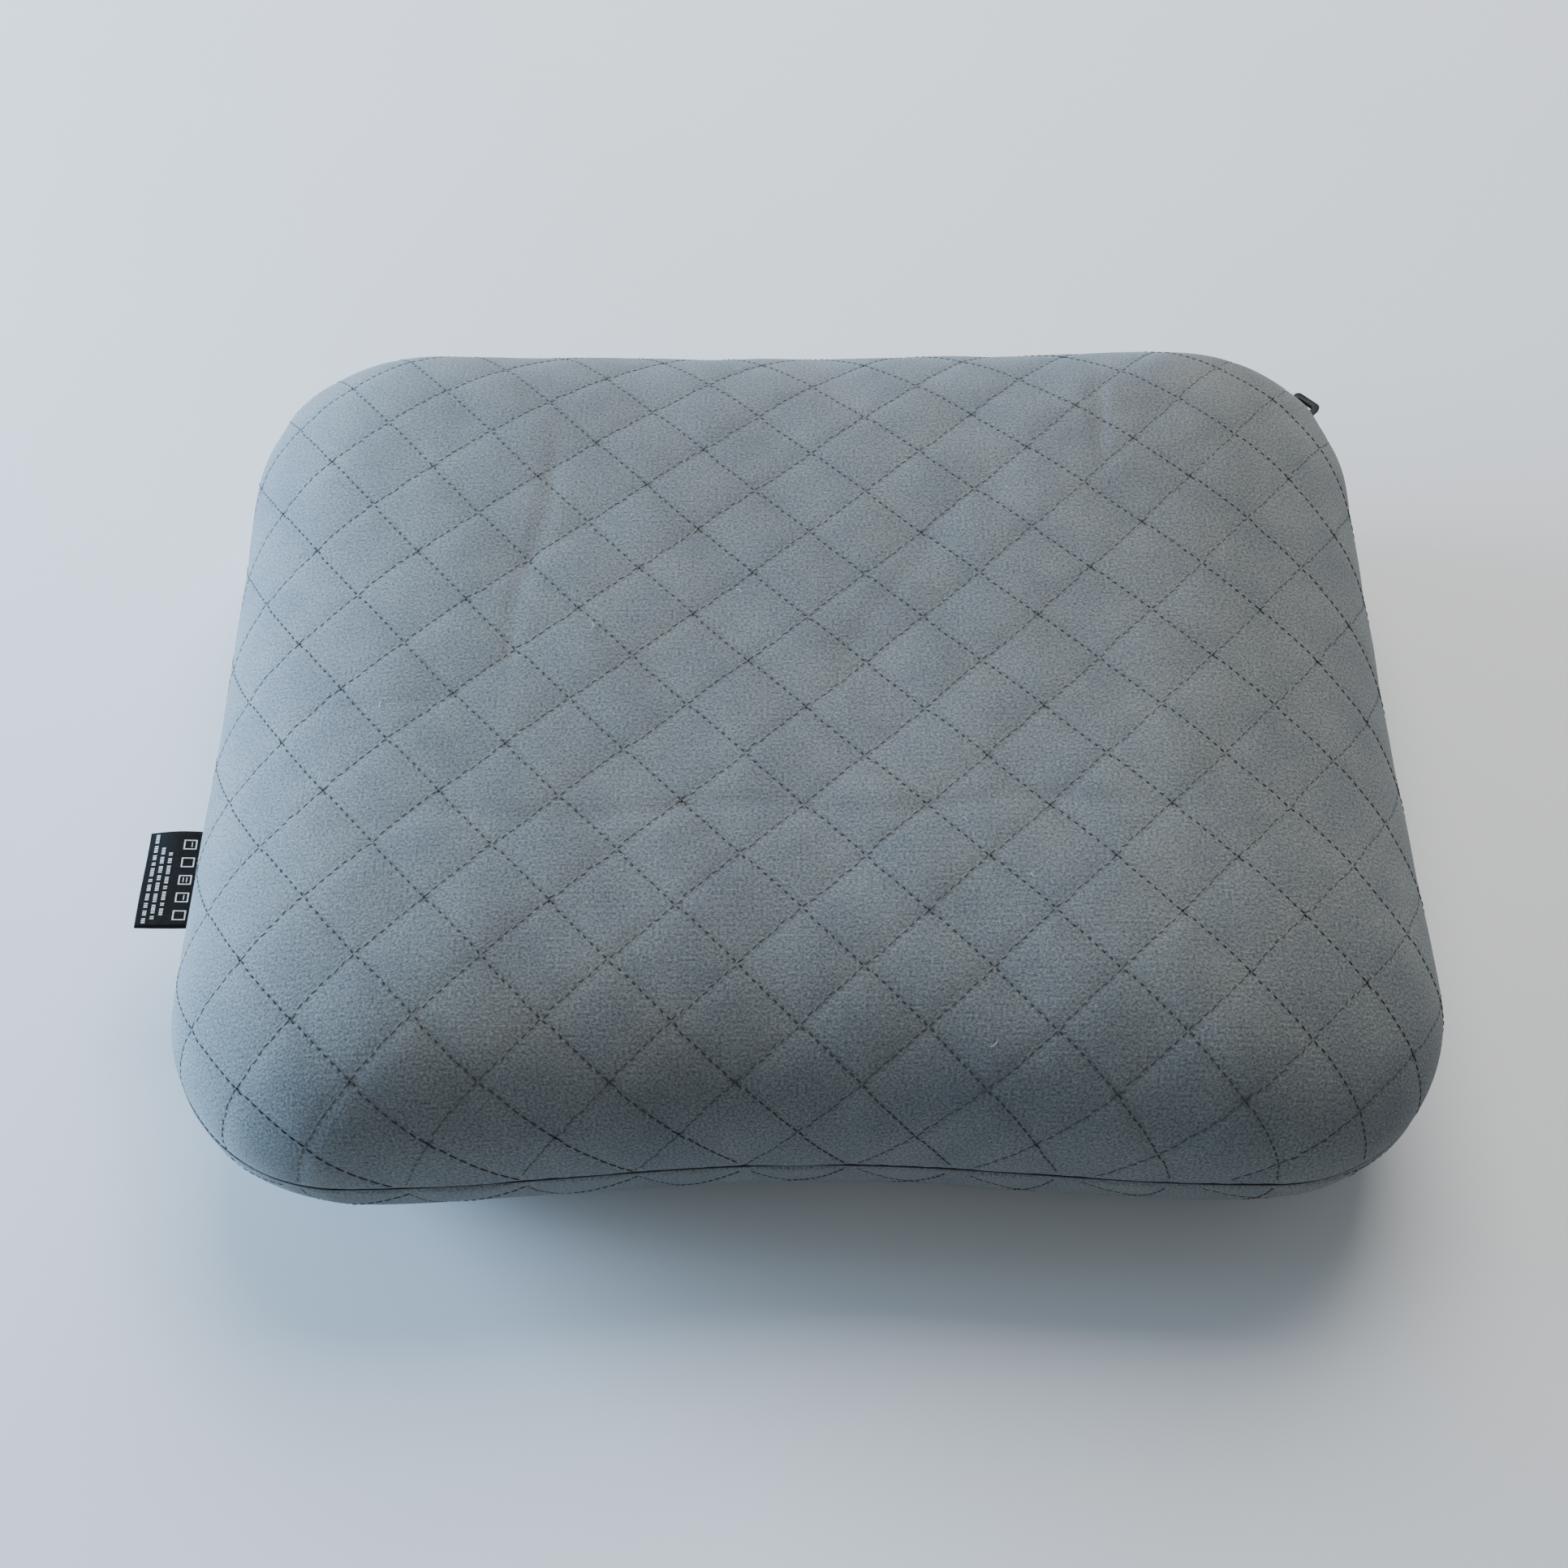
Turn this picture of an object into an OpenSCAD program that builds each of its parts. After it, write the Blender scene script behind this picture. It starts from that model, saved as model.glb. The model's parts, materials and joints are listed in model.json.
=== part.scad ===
// Camp pillow: an air core inside a quilted, padded cover with a zip and a care label.
// Millimetres. Origin at the centre of the resting face, +Z up, front edge towards -Y.

/* [Pillow] */
// Length of the pillow, left to right at the seam
pillow_w = 444; // [400:1:480]
// Depth of the pillow, front to back at the seam
pillow_d = 358; // [330:1:380]
// Height of the crown above the resting face
pillow_h = 116; // [104:1:130]
// Height of the perimeter seam above the resting face
seam_z = 54; // [50:1:58]
// Plan radius of the corners
corner_r = 65; // [60:1:70]
// How far the middle of the front edge is drawn in
front_scoop = 8; // [4:1:16]
// How far the middle of the rear edge is drawn in
rear_scoop = 2; // [0:1:6]
// How far the middle of each side is drawn in
side_scoop = 1; // [0:1:6]
// How much lower the shoulder of the crown is than its middle
crown_fall = 0.03; // [0:0.01:0.1]

/* [Cover layers] */
// Thickness of the brushed knit face fabric
face_t = 1.2; // [1:0.1:1.4]
// Thickness of the quilted wadding
wadding_t = 3; // [2:0.1:3]
// Thickness of the lining
lining_t = 0.6; // [0.4:0.1:0.6]

/* [Zip] */
// Half the height of the slot that the zip fills in the cover
zip_slot = 3.5; // [3.5:0.1:4]
// Height of each zip tape
tape_h = 7.5; // [6.5:0.5:7.5]
// Angle round the rear right corner where the closed slider stands
slider_angle = 45; // [43:1:50]
// Width of the pull ring
grip_w = 12.5; // [10:0.5:13]
// Length of the pull ring
grip_l = 11.5; // [11:0.5:14]

/* [Air core] */
// Thickness of the air core's coated fabric
skin_t = 0.8; // [0.5:0.1:1]
// Width of the welded flange round the air core
flange_w = 5.5; // [4:0.5:6]
// Depth between neighbouring baffles
baffle_pitch = 62; // [50:1:70]

/* [Valve] */
// Place of the valve along the rear edge
valve_x = -112; // [-120:1:-60]
// Angle of the valve's axis below the horizontal
valve_tilt = 45; // [40:1:50]
// Outer radius of the valve's collar
collar_r = 12.5; // [12:0.5:13]
// Radius of the deflating bore
bore_r = 9; // [8.8:0.1:9.2]

/* [Care label] */
// Width of the ribbon, measured along the seam
label_w = 40; // [30:1:45]
// How far the folded ribbon stands out of the seam
label_out = 22; // [12:1:26]
// Place of the label's middle along the left side
label_y = -58; // [-80:1:20]

/* [Hidden] */
gap = 0.3;
half_w = pillow_w / 2;
half_d = pillow_d / 2;
corner_x = half_w - corner_r;
corner_y = half_d - corner_r;
crown_rise = pillow_h - seam_z;
flat_sink = 3;
top_power = 5.5;
bottom_power = 7;

layer_gap = 0.9;
core_gap = 1.6;
wadding_off = face_t + layer_gap;
lining_off = wadding_off + wadding_t + gap;
core_off = lining_off + lining_t + core_gap;
core_inset = 16;
cover_rings = 7;
arc_steps = 8;
long_steps = 12;
side_steps = 8;
outline_count = 4 * (arc_steps + 1) + 2 * (long_steps - 1) + 2 * (side_steps - 1);
zip_first = 2;
zip_last = 2 * arc_steps + long_steps - zip_first;
seam_slit = 0.1;
layer_trim = 1.2;
tape_trim = 10;
weld_slit = 0.05;

coil_in = 2.2;
coil_out = 0.6;
coil_low = 0.5;
coil_high = 2.3;
tape_in = 2.9;
tape_out = 2.3;
zip_start = 36;
zip_arc_steps = 10;
stop_arc = 1.2;
slider_l = 9.5;
slider_h = 7.5;
plate_t = 1.2;
lip_t = 0.7;
bow_out = 4.1;
bow_t = 1.2;
bow_l = 7;
link_drop = 1;
ring_r = 2.4;
ring_wire = 0.6;
grip_t = 2;

weld_reach = 4.6;
weld_clear = 0.4;
hinge_y = -13.6;
hinge_z = 2.2;
barrel_r = 1.1;
cap_low = 1.7;
cap_t = 1.8;
plug_depth = 4.7;
inner_bore = 5;
boss_r = 7.5;
small_hinge_y = -9.4;
small_hinge_z = 5.4;
small_barrel_r = 0.9;
hinge_block = 2.1;
cap_inset = 0.8;
hole_clear = 2.2;
hole_top = 8;
bite = 0.1;

// ---------- outline and dome functions ----------

// Shape of a drawn-in edge: 1 in the middle, 0 with no slope at the corners
function bow(t) = pow(cos(90 * t), 2);

// Points of a corner arc of the outline
function corner(sx, sy, start, off, steps) = [
    for (i = [0:steps])
        let (a = start + 90 * i / steps)
            [sx * corner_x + (corner_r - off) * cos(a), sy * corner_y + (corner_r - off) * sin(a)]
];

function rear_edge(off, steps) = [
    for (i = [1:steps - 1])
        let (t = 1 - 2 * i / steps)
            [corner_x * t, half_d - off - rear_scoop * bow(t)]
];

function left_edge(off) = [
    for (i = [1:side_steps - 1])
        let (t = 1 - 2 * i / side_steps)
            [-(half_w - off - side_scoop * bow(t)), corner_y * t]
];

function front_edge(off) = [
    for (i = [1:long_steps - 1])
        let (t = 1 - 2 * i / long_steps)
            [-corner_x * t, -(half_d - off - front_scoop * bow(t))]
];

function right_edge(off) = [
    for (i = [1:side_steps - 1])
        let (t = 1 - 2 * i / side_steps)
            [half_w - off - side_scoop * bow(t), -corner_y * t]
];

// The plan outline at the seam, drawn in by off, anticlockwise from the right
function outline(off) = concat(
    corner(1, 1, 0, off, arc_steps), rear_edge(off, long_steps),
    corner(-1, 1, 90, off, arc_steps), left_edge(off),
    corner(-1, -1, 180, off, arc_steps), front_edge(off),
    corner(1, -1, 270, off, arc_steps), right_edge(off)
);

// 1 along the zip, 0 elsewhere, with one step between
function zip_share(i) = max(0, min(1, min(i - zip_first, zip_last - i)));

// Ring positions that give the rounded edge even steps
function ring_at(k, power) = pow(sin(90 * k / cover_rings), 2 / power);

function top_fall(s) = sqrt(max(0, 1 - pow(s, top_power))) * (1 - crown_fall * s * s);
function bottom_fall(s) = sqrt(max(0, 1 - pow(s, bottom_power)));

// How high the cover's cut edge stands off the seam: almost nothing, but more along the zip
function cut_edge(i) = seam_slit + (zip_slot - seam_slit) * zip_share(i);

// How high an inner layer is trimmed off the seam, to make room for the tapes along the zip
function trimmed(i) = layer_trim + (tape_trim - layer_trim) * zip_share(i);

// Outermost ring position that an inner layer reaches at outline point i
function trim_reach(i, span, power) = pow(1 - pow((trimmed(i) - cut_edge(i)) / span, 2), 1 / power);

// One ring of a domed layer: off draws it in all round, and trim shortens an inner layer
function top_ring(s, off, trim) = [
    for (i = [0:outline_count - 1])
        let (
            p = outline(off)[i],
            span = crown_rise - off - cut_edge(i),
            reach = trim ? min(s, trim_reach(i, span, top_power)) : s
        )
            [p[0] * reach, p[1] * reach, seam_z + cut_edge(i) + span * top_fall(reach)]
];

function bottom_ring(s, off, trim) = [
    for (i = [0:outline_count - 1])
        let (
            p = outline(off)[i],
            span = seam_z + flat_sink - off - cut_edge(i),
            reach = trim ? min(s, trim_reach(i, span, bottom_power)) : s
        )
            [p[0] * reach, p[1] * reach, max(off, seam_z - cut_edge(i) - span * bottom_fall(reach))]
];

// One ring of the air core, which is drawn in more at the seam than at the crown
function core_ring(s, inset, off, lift, side) = [
    for (p = outline(inset))
        side > 0
            ? [p[0] * s, p[1] * s, seam_z + lift + (crown_rise - off - lift) * top_fall(s)]
            : [
                p[0] * s, p[1] * s,
                max(off, seam_z - lift - (seam_z + flat_sink - off - lift) * bottom_fall(s))
            ]
];

// ---------- solids from rings ----------

// Closed solid through a stack of rings. Each end is closed by a fan to its pole
module ring_solid(rings, first_pole, last_pole) {
    m = len(rings[0]);
    n = len(rings);
    points = concat([first_pole], [for (r = rings) each r], [last_pole]);
    last = len(points) - 1;
    fan_a = [for (i = [0:m - 1]) [0, 1 + (i + 1) % m, 1 + i]];
    fan_b = [for (i = [0:m - 1]) [last, last - m + i, last - m + (i + 1) % m]];
    walls = [
        for (k = [0:n - 2], i = [0:m - 1])
            let (a = 1 + k * m + i, b = 1 + k * m + (i + 1) % m)
                each [[a, b, b + m], [a, b + m, a + m]]
    ];
    polyhedron(points = points, faces = concat(fan_a, walls, fan_b), convexity = 6);
}

// Closed band through a loop of cross-sections, each a list of the same number of points
module strip_solid(sections) {
    m = len(sections[0]);
    n = len(sections);
    points = [for (s = sections) each s];
    walls = [
        for (k = [0:n - 2], i = [0:m - 1])
            let (a = k * m + i, b = k * m + (i + 1) % m)
                each [[a, b, b + m], [a, b + m, a + m]]
    ];
    start = [for (i = [m - 1:-1:0]) i];
    end = [for (i = [0:m - 1]) (n - 1) * m + i];
    polyhedron(points = points, faces = concat([start], walls, [end]), convexity = 6);
}

// One domed layer of the cover, upper half
module top_layer(off, t, trim = true) {
    outer = [for (k = [1:cover_rings]) top_ring(ring_at(k, top_power), off, trim)];
    inner = [for (k = [cover_rings:-1:1]) top_ring(ring_at(k, top_power), off + t, trim)];
    ring_solid(concat(outer, inner), [0, 0, pillow_h - off], [0, 0, pillow_h - off - t]);
}

// One domed layer of the cover, lower half, flat where the pillow rests
module bottom_layer(off, t, trim = true) {
    inner = [for (k = [1:cover_rings]) bottom_ring(ring_at(k, bottom_power), off + t, trim)];
    outer = [for (k = [cover_rings:-1:1]) bottom_ring(ring_at(k, bottom_power), off, trim)];
    ring_solid(concat(inner, outer), [0, 0, off + t], [0, 0, off]);
}

// ---------- places ----------

// Where the valve's axis meets the lower panel
valve_s = 0.93;
valve_edge_x = valve_x / valve_s;
valve_y = valve_s * (half_d - rear_scoop * bow(valve_edge_x / corner_x));
valve_z = seam_z - zip_slot - (seam_z + flat_sink - zip_slot) * bottom_fall(valve_s);

// Local +Z points out of the valve, local -Y points up towards the seam
module at_valve() {
    translate([valve_x, valve_y, valve_z]) rotate([-(90 + valve_tilt), 0, 0]) children();
}

// Local +X points straight out of the corner at the slider, local +Y along the zip
module at_slider() {
    translate([corner_x, corner_y, seam_z]) rotate([0, 0, slider_angle])
        translate([corner_r, 0, 0]) children();
}

// A ring wall of given radii between two heights
module tube(outer, inner, low, high) {
    translate([0, 0, low]) difference() {
        cylinder(r = outer, h = high - low, $fn = 72);
        translate([0, 0, -1]) cylinder(r = inner, h = high - low + 2, $fn = 72);
    }
}

module disc(r, low, high) {
    translate([0, 0, low]) cylinder(r = r, h = high - low, $fn = 72);
}

// What is cut from the lower layers for the valve, down to the given depth
module valve_hole(low) {
    at_valve() disc(collar_r + hole_clear, low, hole_top);
}

// ---------- cover ----------

module cover_top() {
    color("slategray") top_layer(0, face_t, false);
}

module cover_bottom() {
    color("slategray") difference() {
        bottom_layer(0, face_t, false);
        valve_hole(-12);
    }
}

module wadding_top() {
    color("white") top_layer(wadding_off, wadding_t);
}

module wadding_bottom() {
    color("white") difference() {
        bottom_layer(wadding_off, wadding_t);
        valve_hole(-16);
    }
}

module lining_top() {
    color("dimgray") top_layer(lining_off, lining_t);
}

module lining_bottom() {
    color("dimgray") difference() {
        bottom_layer(lining_off, lining_t);
        valve_hole(-20);
    }
}

// Bound seam allowance, turned in behind the seam
module seam_binding() {
    binding_gap = 0.4;
    binding_w = 3.5;
    near = lining_off + lining_t + binding_gap;
    half_t = 1.2;
    color("black") translate([0, 0, seam_z - half_t]) linear_extrude(2 * half_t) difference() {
        polygon(outline(near));
        polygon(outline(near + binding_w));
    }
}

// Ribbon folded over and caught in the seam, standing out of the left side
module care_label() {
    ribbon_t = 0.5;
    fold_gap = 1;
    seat = 1;
    tail_x = -(half_w - side_scoop * bow(label_y / corner_y)) + seat;
    fold_x = tail_x - label_out - seat;
    color("black") translate([0, label_y + label_w / 2, seam_z]) rotate([90, 0, 0])
        linear_extrude(label_w) {
            translate([fold_x + fold_gap / 2 + ribbon_t, fold_gap / 2])
                square([tail_x - fold_x - fold_gap / 2 - ribbon_t - seat, ribbon_t]);
            translate([fold_x + fold_gap / 2 + ribbon_t, -fold_gap / 2 - ribbon_t])
                square([tail_x - fold_x - fold_gap / 2 - ribbon_t - seat, ribbon_t]);
            translate([fold_x + fold_gap / 2 + ribbon_t, 0]) difference() {
                circle(r = fold_gap / 2 + ribbon_t, $fn = 32);
                circle(r = fold_gap / 2, $fn = 32);
                translate([0, -fold_gap - ribbon_t]) square(2 * (fold_gap + ribbon_t));
            }
        }
}

// ---------- zip ----------

// The zip's path, drawn in by off: round the rear right corner, along the rear, round the left
function zip_path(off, start) = concat(
    [
        for (i = [0:zip_arc_steps])
            let (a = start + (90 - start) * i / zip_arc_steps)
                [corner_x + (corner_r - off) * cos(a), corner_y + (corner_r - off) * sin(a)]
    ],
    rear_edge(off, long_steps),
    [
        for (i = [0:zip_arc_steps])
            let (a = 90 + (90 - start) * i / zip_arc_steps)
                [-corner_x + (corner_r - off) * cos(a), corner_y + (corner_r - off) * sin(a)]
    ]
);

// A band of rectangular section along the zip's path
module zip_band(near, far, low, high, start) {
    a = zip_path(near, start);
    b = zip_path(far, start);
    strip_solid([
        for (i = [0:len(a) - 1])
            [
                [a[i][0], a[i][1], low], [b[i][0], b[i][1], low],
                [b[i][0], b[i][1], high], [a[i][0], a[i][1], high]
            ]
    ]);
}

module zip_tape_upper() {
    color("black") zip_band(tape_out, tape_in, seam_z + coil_low, seam_z + tape_h, zip_start - 4);
}

module zip_tape_lower() {
    color("black") zip_band(tape_out, tape_in, seam_z - tape_h, seam_z - coil_low, zip_start - 4);
}

module zip_coil_upper() {
    color("black")
        zip_band(coil_out, coil_in, seam_z + coil_low, seam_z + coil_high, zip_start + stop_arc);
}

module zip_coil_lower() {
    color("black")
        zip_band(coil_out, coil_in, seam_z - coil_high, seam_z - coil_low, zip_start + stop_arc);
}

// A stop is a short block across both tapes, at one end of the coils
module zip_stop(mirrored) {
    mirror([mirrored ? 1 : 0, 0, 0]) translate([corner_x, corner_y, seam_z - coil_high])
        rotate([0, 0, zip_start - stop_arc])
            rotate_extrude(angle = 2 * stop_arc - 0.2, $fn = 180)
                translate([corner_r - coil_in, 0])
                    square([coil_in - coil_out, 2 * coil_high]);
}

module zip_closed_stop() {
    color("black") zip_stop(false);
}

module zip_open_stop() {
    color("black") zip_stop(true);
}

// Slider: outer and inner plate joined by a thin post, with lips round the coils and a bow
module slider() {
    inner_plate = tape_in + 0.5;
    post_l = 2.6;
    post_t = 0.6;
    lip_in = 1.6;
    lip_low = coil_high + 0.25;
    leg_h = 1.2;
    color("black") at_slider() {
        translate([gap, -slider_l / 2, -slider_h / 2]) cube([plate_t, slider_l, slider_h]);
        translate([-inner_plate - plate_t, -slider_l / 2, -slider_h / 2])
            cube([plate_t, slider_l, slider_h]);
        translate([-inner_plate - bite, -post_l / 2, -post_t / 2])
            cube([inner_plate + gap + 2 * bite, post_l, post_t]);
        for (side = [0, 1]) mirror([0, 0, side])
            translate([-lip_in, -slider_l / 2, lip_low])
                cube([gap + lip_in + bite, slider_l, lip_t]);
        for (side = [0, 1]) mirror([0, side, 0])
            translate([gap + plate_t - bite, bow_l / 2 - bow_t, -leg_h / 2])
                cube([bow_out - plate_t + bite, bow_t, leg_h]);
        translate([gap + bow_out, 0, 0]) rotate([90, 0, 0])
            cylinder(r = bow_t / 2, h = bow_l, center = true, $fn = 32);
    }
}

// Round wire link through the slider's bow
link_x = gap + bow_out + link_drop;
module pull_link() {
    color("black") at_slider() translate([link_x, 0, 0]) rotate([90, 0, 0])
        rotate_extrude($fn = 48) translate([ring_r, 0]) circle(r = ring_wire, $fn = 24);
}

// Moulded pull: a flat rounded frame with a finger slot, and an eye round the link's wire
pivot_x = link_x + ring_r;
eye_r = 2.4;
module pull_ring() {
    side_wall = 2.4;
    end_wall = 2.8;
    body_start = 4;
    corner = 2.2;
    slot_r = 0.9;
    neck_x = 1.5;
    slot_x = [body_start + side_wall, grip_l - end_wall - slot_r];
    color("black") at_slider() translate([pivot_x, 0, -grip_t / 2]) difference() {
        linear_extrude(grip_t) difference() {
            union() {
                circle(r = eye_r, $fn = 40);
                hull() {
                    translate([neck_x, 0]) circle(r = eye_r, $fn = 32);
                    for (side = [-1, 1])
                        translate([body_start + corner, side * (grip_w / 2 - corner)])
                            circle(r = corner, $fn = 32);
                }
                hull() for (side = [-1, 1], x = [body_start + corner, grip_l - corner])
                    translate([x, side * (grip_w / 2 - corner)]) circle(r = corner, $fn = 32);
            }
            hull() for (side = [-1, 1], x = slot_x)
                translate([x, side * (grip_w / 2 - side_wall - slot_r)])
                    circle(r = slot_r, $fn = 24);
        }
        translate([0, 0, -1]) cylinder(r = ring_wire + gap, h = grip_t + 2, $fn = 32);
    }
}

// ---------- air core ----------

// Upper skin of the air core with its half of the welded flange
module air_core_top() {
    color("darkslategray") ring_solid(
        concat(
            [
                for (k = [1:cover_rings])
                    core_ring(ring_at(k, top_power), core_inset, core_off, weld_slit + skin_t, 1)
            ],
            [core_ring(1, core_inset - flange_w, core_off, weld_slit + skin_t, 1)],
            [core_ring(1, core_inset - flange_w, core_off, weld_slit, 1)],
            [
                for (k = [cover_rings:-1:1])
                    core_ring(
                        ring_at(k, top_power), core_inset + skin_t, core_off + skin_t, weld_slit, 1
                    )
            ]
        ),
        [0, 0, pillow_h - core_off], [0, 0, pillow_h - core_off - skin_t]
    );
}

// Lower skin of the air core with its half of the welded flange, opened for the valve
module air_core_bottom() {
    color("darkslategray") difference() {
        ring_solid(
            concat(
                [
                    for (k = [1:cover_rings])
                        core_ring(
                            ring_at(k, bottom_power), core_inset + skin_t, core_off + skin_t,
                            weld_slit, -1
                        )
                ],
                [core_ring(1, core_inset - flange_w, core_off, weld_slit, -1)],
                [core_ring(1, core_inset - flange_w, core_off, weld_slit + skin_t, -1)],
                [
                    for (k = [cover_rings:-1:1])
                        core_ring(
                            ring_at(k, bottom_power), core_inset, core_off, weld_slit + skin_t, -1
                        )
                ]
            ),
            [0, 0, core_off + skin_t], [0, 0, core_off]
        );
        at_valve() disc(collar_r + weld_reach + weld_clear, -30, hole_top);
    }
}

// Upright web that ties the two skins together and keeps the crown flat
module baffle(y) {
    reach = corner_x - 10;
    steps = 16;
    web_gap = 0.5;
    web_power = 4;
    clear = skin_t + 0.4;
    edge = half_w - core_inset;
    depth = half_d - core_inset;
    s_of = function (x)
        pow(pow(abs(x) / edge, web_power) + pow(abs(y) / depth, web_power), 1 / web_power);
    top = [
        for (i = [0:steps])
            let (x = reach - 2 * reach * i / steps)
                [x, seam_z + (crown_rise - core_off - 1) * top_fall(s_of(x)) - clear - 3 * web_gap]
    ];
    floor = core_off + clear + web_gap;
    color("slategray") translate([0, y + skin_t / 2, 0]) rotate([90, 0, 0])
        linear_extrude(skin_t) polygon(concat([[-reach, floor], [reach, floor]], top));
}

module baffle_front() {
    baffle(-baffle_pitch);
}

module baffle_middle() {
    baffle(0);
}

module baffle_rear() {
    baffle(baffle_pitch);
}

// ---------- valve ----------

// Flange welded into the air core, collar through the cover, and knuckles for the large cap
module valve_body() {
    flange_low = -13;
    flange_t = 1.2;
    collar_top = 1.5;
    knuckle_w = 2.4;
    knuckle_x = 4.6;
    block_low = 0.95;
    color("black") at_valve() {
        tube(collar_r + weld_reach, bore_r, flange_low, flange_low + flange_t);
        tube(collar_r, bore_r, flange_low + flange_t - 2 * bite, collar_top);
        for (side = [-1, 1]) translate([side * knuckle_x - knuckle_w / 2, hinge_y, 0]) {
            translate([0, 0, block_low]) cube([knuckle_w, hinge_block, hinge_z - block_low]);
            translate([0, 0, hinge_z]) rotate([0, 90, 0])
                cylinder(r = barrel_r, h = knuckle_w, $fn = 32);
        }
    }
}

// Bound edge of the valve opening, through all the layers of the lower panel
module opening_ring() {
    wall = 1.5;
    depth = 5.6;
    proud = 0.5;
    inside = collar_r + 0.4;
    color("black") at_valve() tube(inside + wall, inside, -depth, proud);
}

// Large cap: opens the whole bore to let the air out fast, and holds the one-way flap
module deflate_cap() {
    top = cap_low + cap_t;
    boss_h = 1.7;
    plug_gap = 0.2;
    plug_taper = 1.2;
    knuckle_w = 6;
    tongue_l = 4;
    tongue_t = 1.4;
    ear_x = 3.4;
    ear_w = 1.6;
    ear_l = 1.5;
    bridge_w = 1.8;
    bridge_t = 1;
    bridge_up = 0.4;
    stem_hole = 1.3;
    color("black") at_valve() {
        difference() {
            union() {
                disc(collar_r - cap_inset, cap_low, top);
                disc(boss_r, top - bite, top + boss_h);
                translate([0, 0, cap_low - plug_depth])
                    cylinder(
                        r1 = bore_r - plug_gap - plug_taper, r2 = bore_r - plug_gap,
                        h = plug_depth + bite, $fn = 72
                    );
                translate([-knuckle_w / 2, hinge_y, cap_low]) cube([knuckle_w, tongue_l, tongue_t]);
                translate([-knuckle_w / 2, hinge_y, hinge_z]) rotate([0, 90, 0])
                    cylinder(r = barrel_r, h = knuckle_w, $fn = 32);
                for (side = [-1, 1])
                    translate([side * ear_x - ear_w / 2, small_hinge_y, top - bite]) {
                        cube([ear_w, ear_l, small_hinge_z - top + bite]);
                        translate([0, 0, small_hinge_z - top + bite]) rotate([0, 90, 0])
                            cylinder(r = small_barrel_r, h = ear_w, $fn = 32);
                    }
            }
            disc(inner_bore, cap_low - plug_depth - 1, top + boss_h + 1);
        }
        difference() {
            translate([-inner_bore - gap, -bridge_w / 2, cap_low - plug_depth + bridge_up])
                cube([2 * (inner_bore + gap), bridge_w, bridge_t]);
            disc(stem_hole, -10, 10);
        }
    }
}

// Silicone one-way flap held by its stem in the large cap's bridge
module valve_flap() {
    seat = cap_low - plug_depth;
    flap_r = 6.4;
    flap_t = 0.5;
    flap_gap = 0.2;
    stem_r = 1.1;
    head_r = 1.8;
    head_low = 1.6;
    head_top = 2.3;
    color("white") at_valve() {
        disc(flap_r, seat - flap_gap - flap_t, seat - flap_gap);
        disc(stem_r, seat - flap_gap - bite, seat + head_top);
        disc(head_r, seat + head_low, seat + head_top);
    }
}

// Small cap: closes the inflating bore
module inflate_cap() {
    rim = 0.3;
    disc_t = 1.4;
    plug_h = 2.6;
    plug_gap = 0.2;
    plug_taper = 0.8;
    knuckle_w = 4.6;
    tongue_l = 3;
    tongue_t = 0.9;
    grip_r = 0.5;
    grip_x = 2.4;
    grip_len = 1.2;
    color("black") at_valve() {
        disc(boss_r + rim, small_hinge_z, small_hinge_z + disc_t);
        translate([0, 0, small_hinge_z - plug_h])
            cylinder(
                r1 = inner_bore - plug_gap - plug_taper, r2 = inner_bore - plug_gap,
                h = plug_h + bite, $fn = 72
            );
        translate([-knuckle_w / 2, small_hinge_y, small_hinge_z])
            cube([knuckle_w, tongue_l, tongue_t]);
        translate([-knuckle_w / 2, small_hinge_y, small_hinge_z]) rotate([0, 90, 0])
            cylinder(r = small_barrel_r, h = knuckle_w, $fn = 32);
        for (side = [-1, 1])
            translate([side * grip_x, boss_r - 2 * rim, small_hinge_z + disc_t / 2])
                rotate([0, 90, 0]) cylinder(r = grip_r, h = grip_len, center = true, $fn = 24);
    }
}

cover_top();
cover_bottom();
wadding_top();
wadding_bottom();
lining_top();
lining_bottom();
seam_binding();
care_label();
zip_tape_upper();
zip_tape_lower();
zip_coil_upper();
zip_coil_lower();
zip_closed_stop();
zip_open_stop();
slider();
pull_link();
pull_ring();
air_core_top();
air_core_bottom();
baffle_front();
baffle_middle();
baffle_rear();
valve_body();
opening_ring();
deflate_cap();
valve_flap();
inflate_cap();
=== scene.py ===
"""Camp pillow: a quilted cover round an air core, with a care label, a zip and a valve.

Metres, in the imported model's frame: +Z up, front edge towards -Y.
"""
import json
import math

import bmesh
import bpy
import numpy as np
from mathutils import Matrix, Vector


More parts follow.
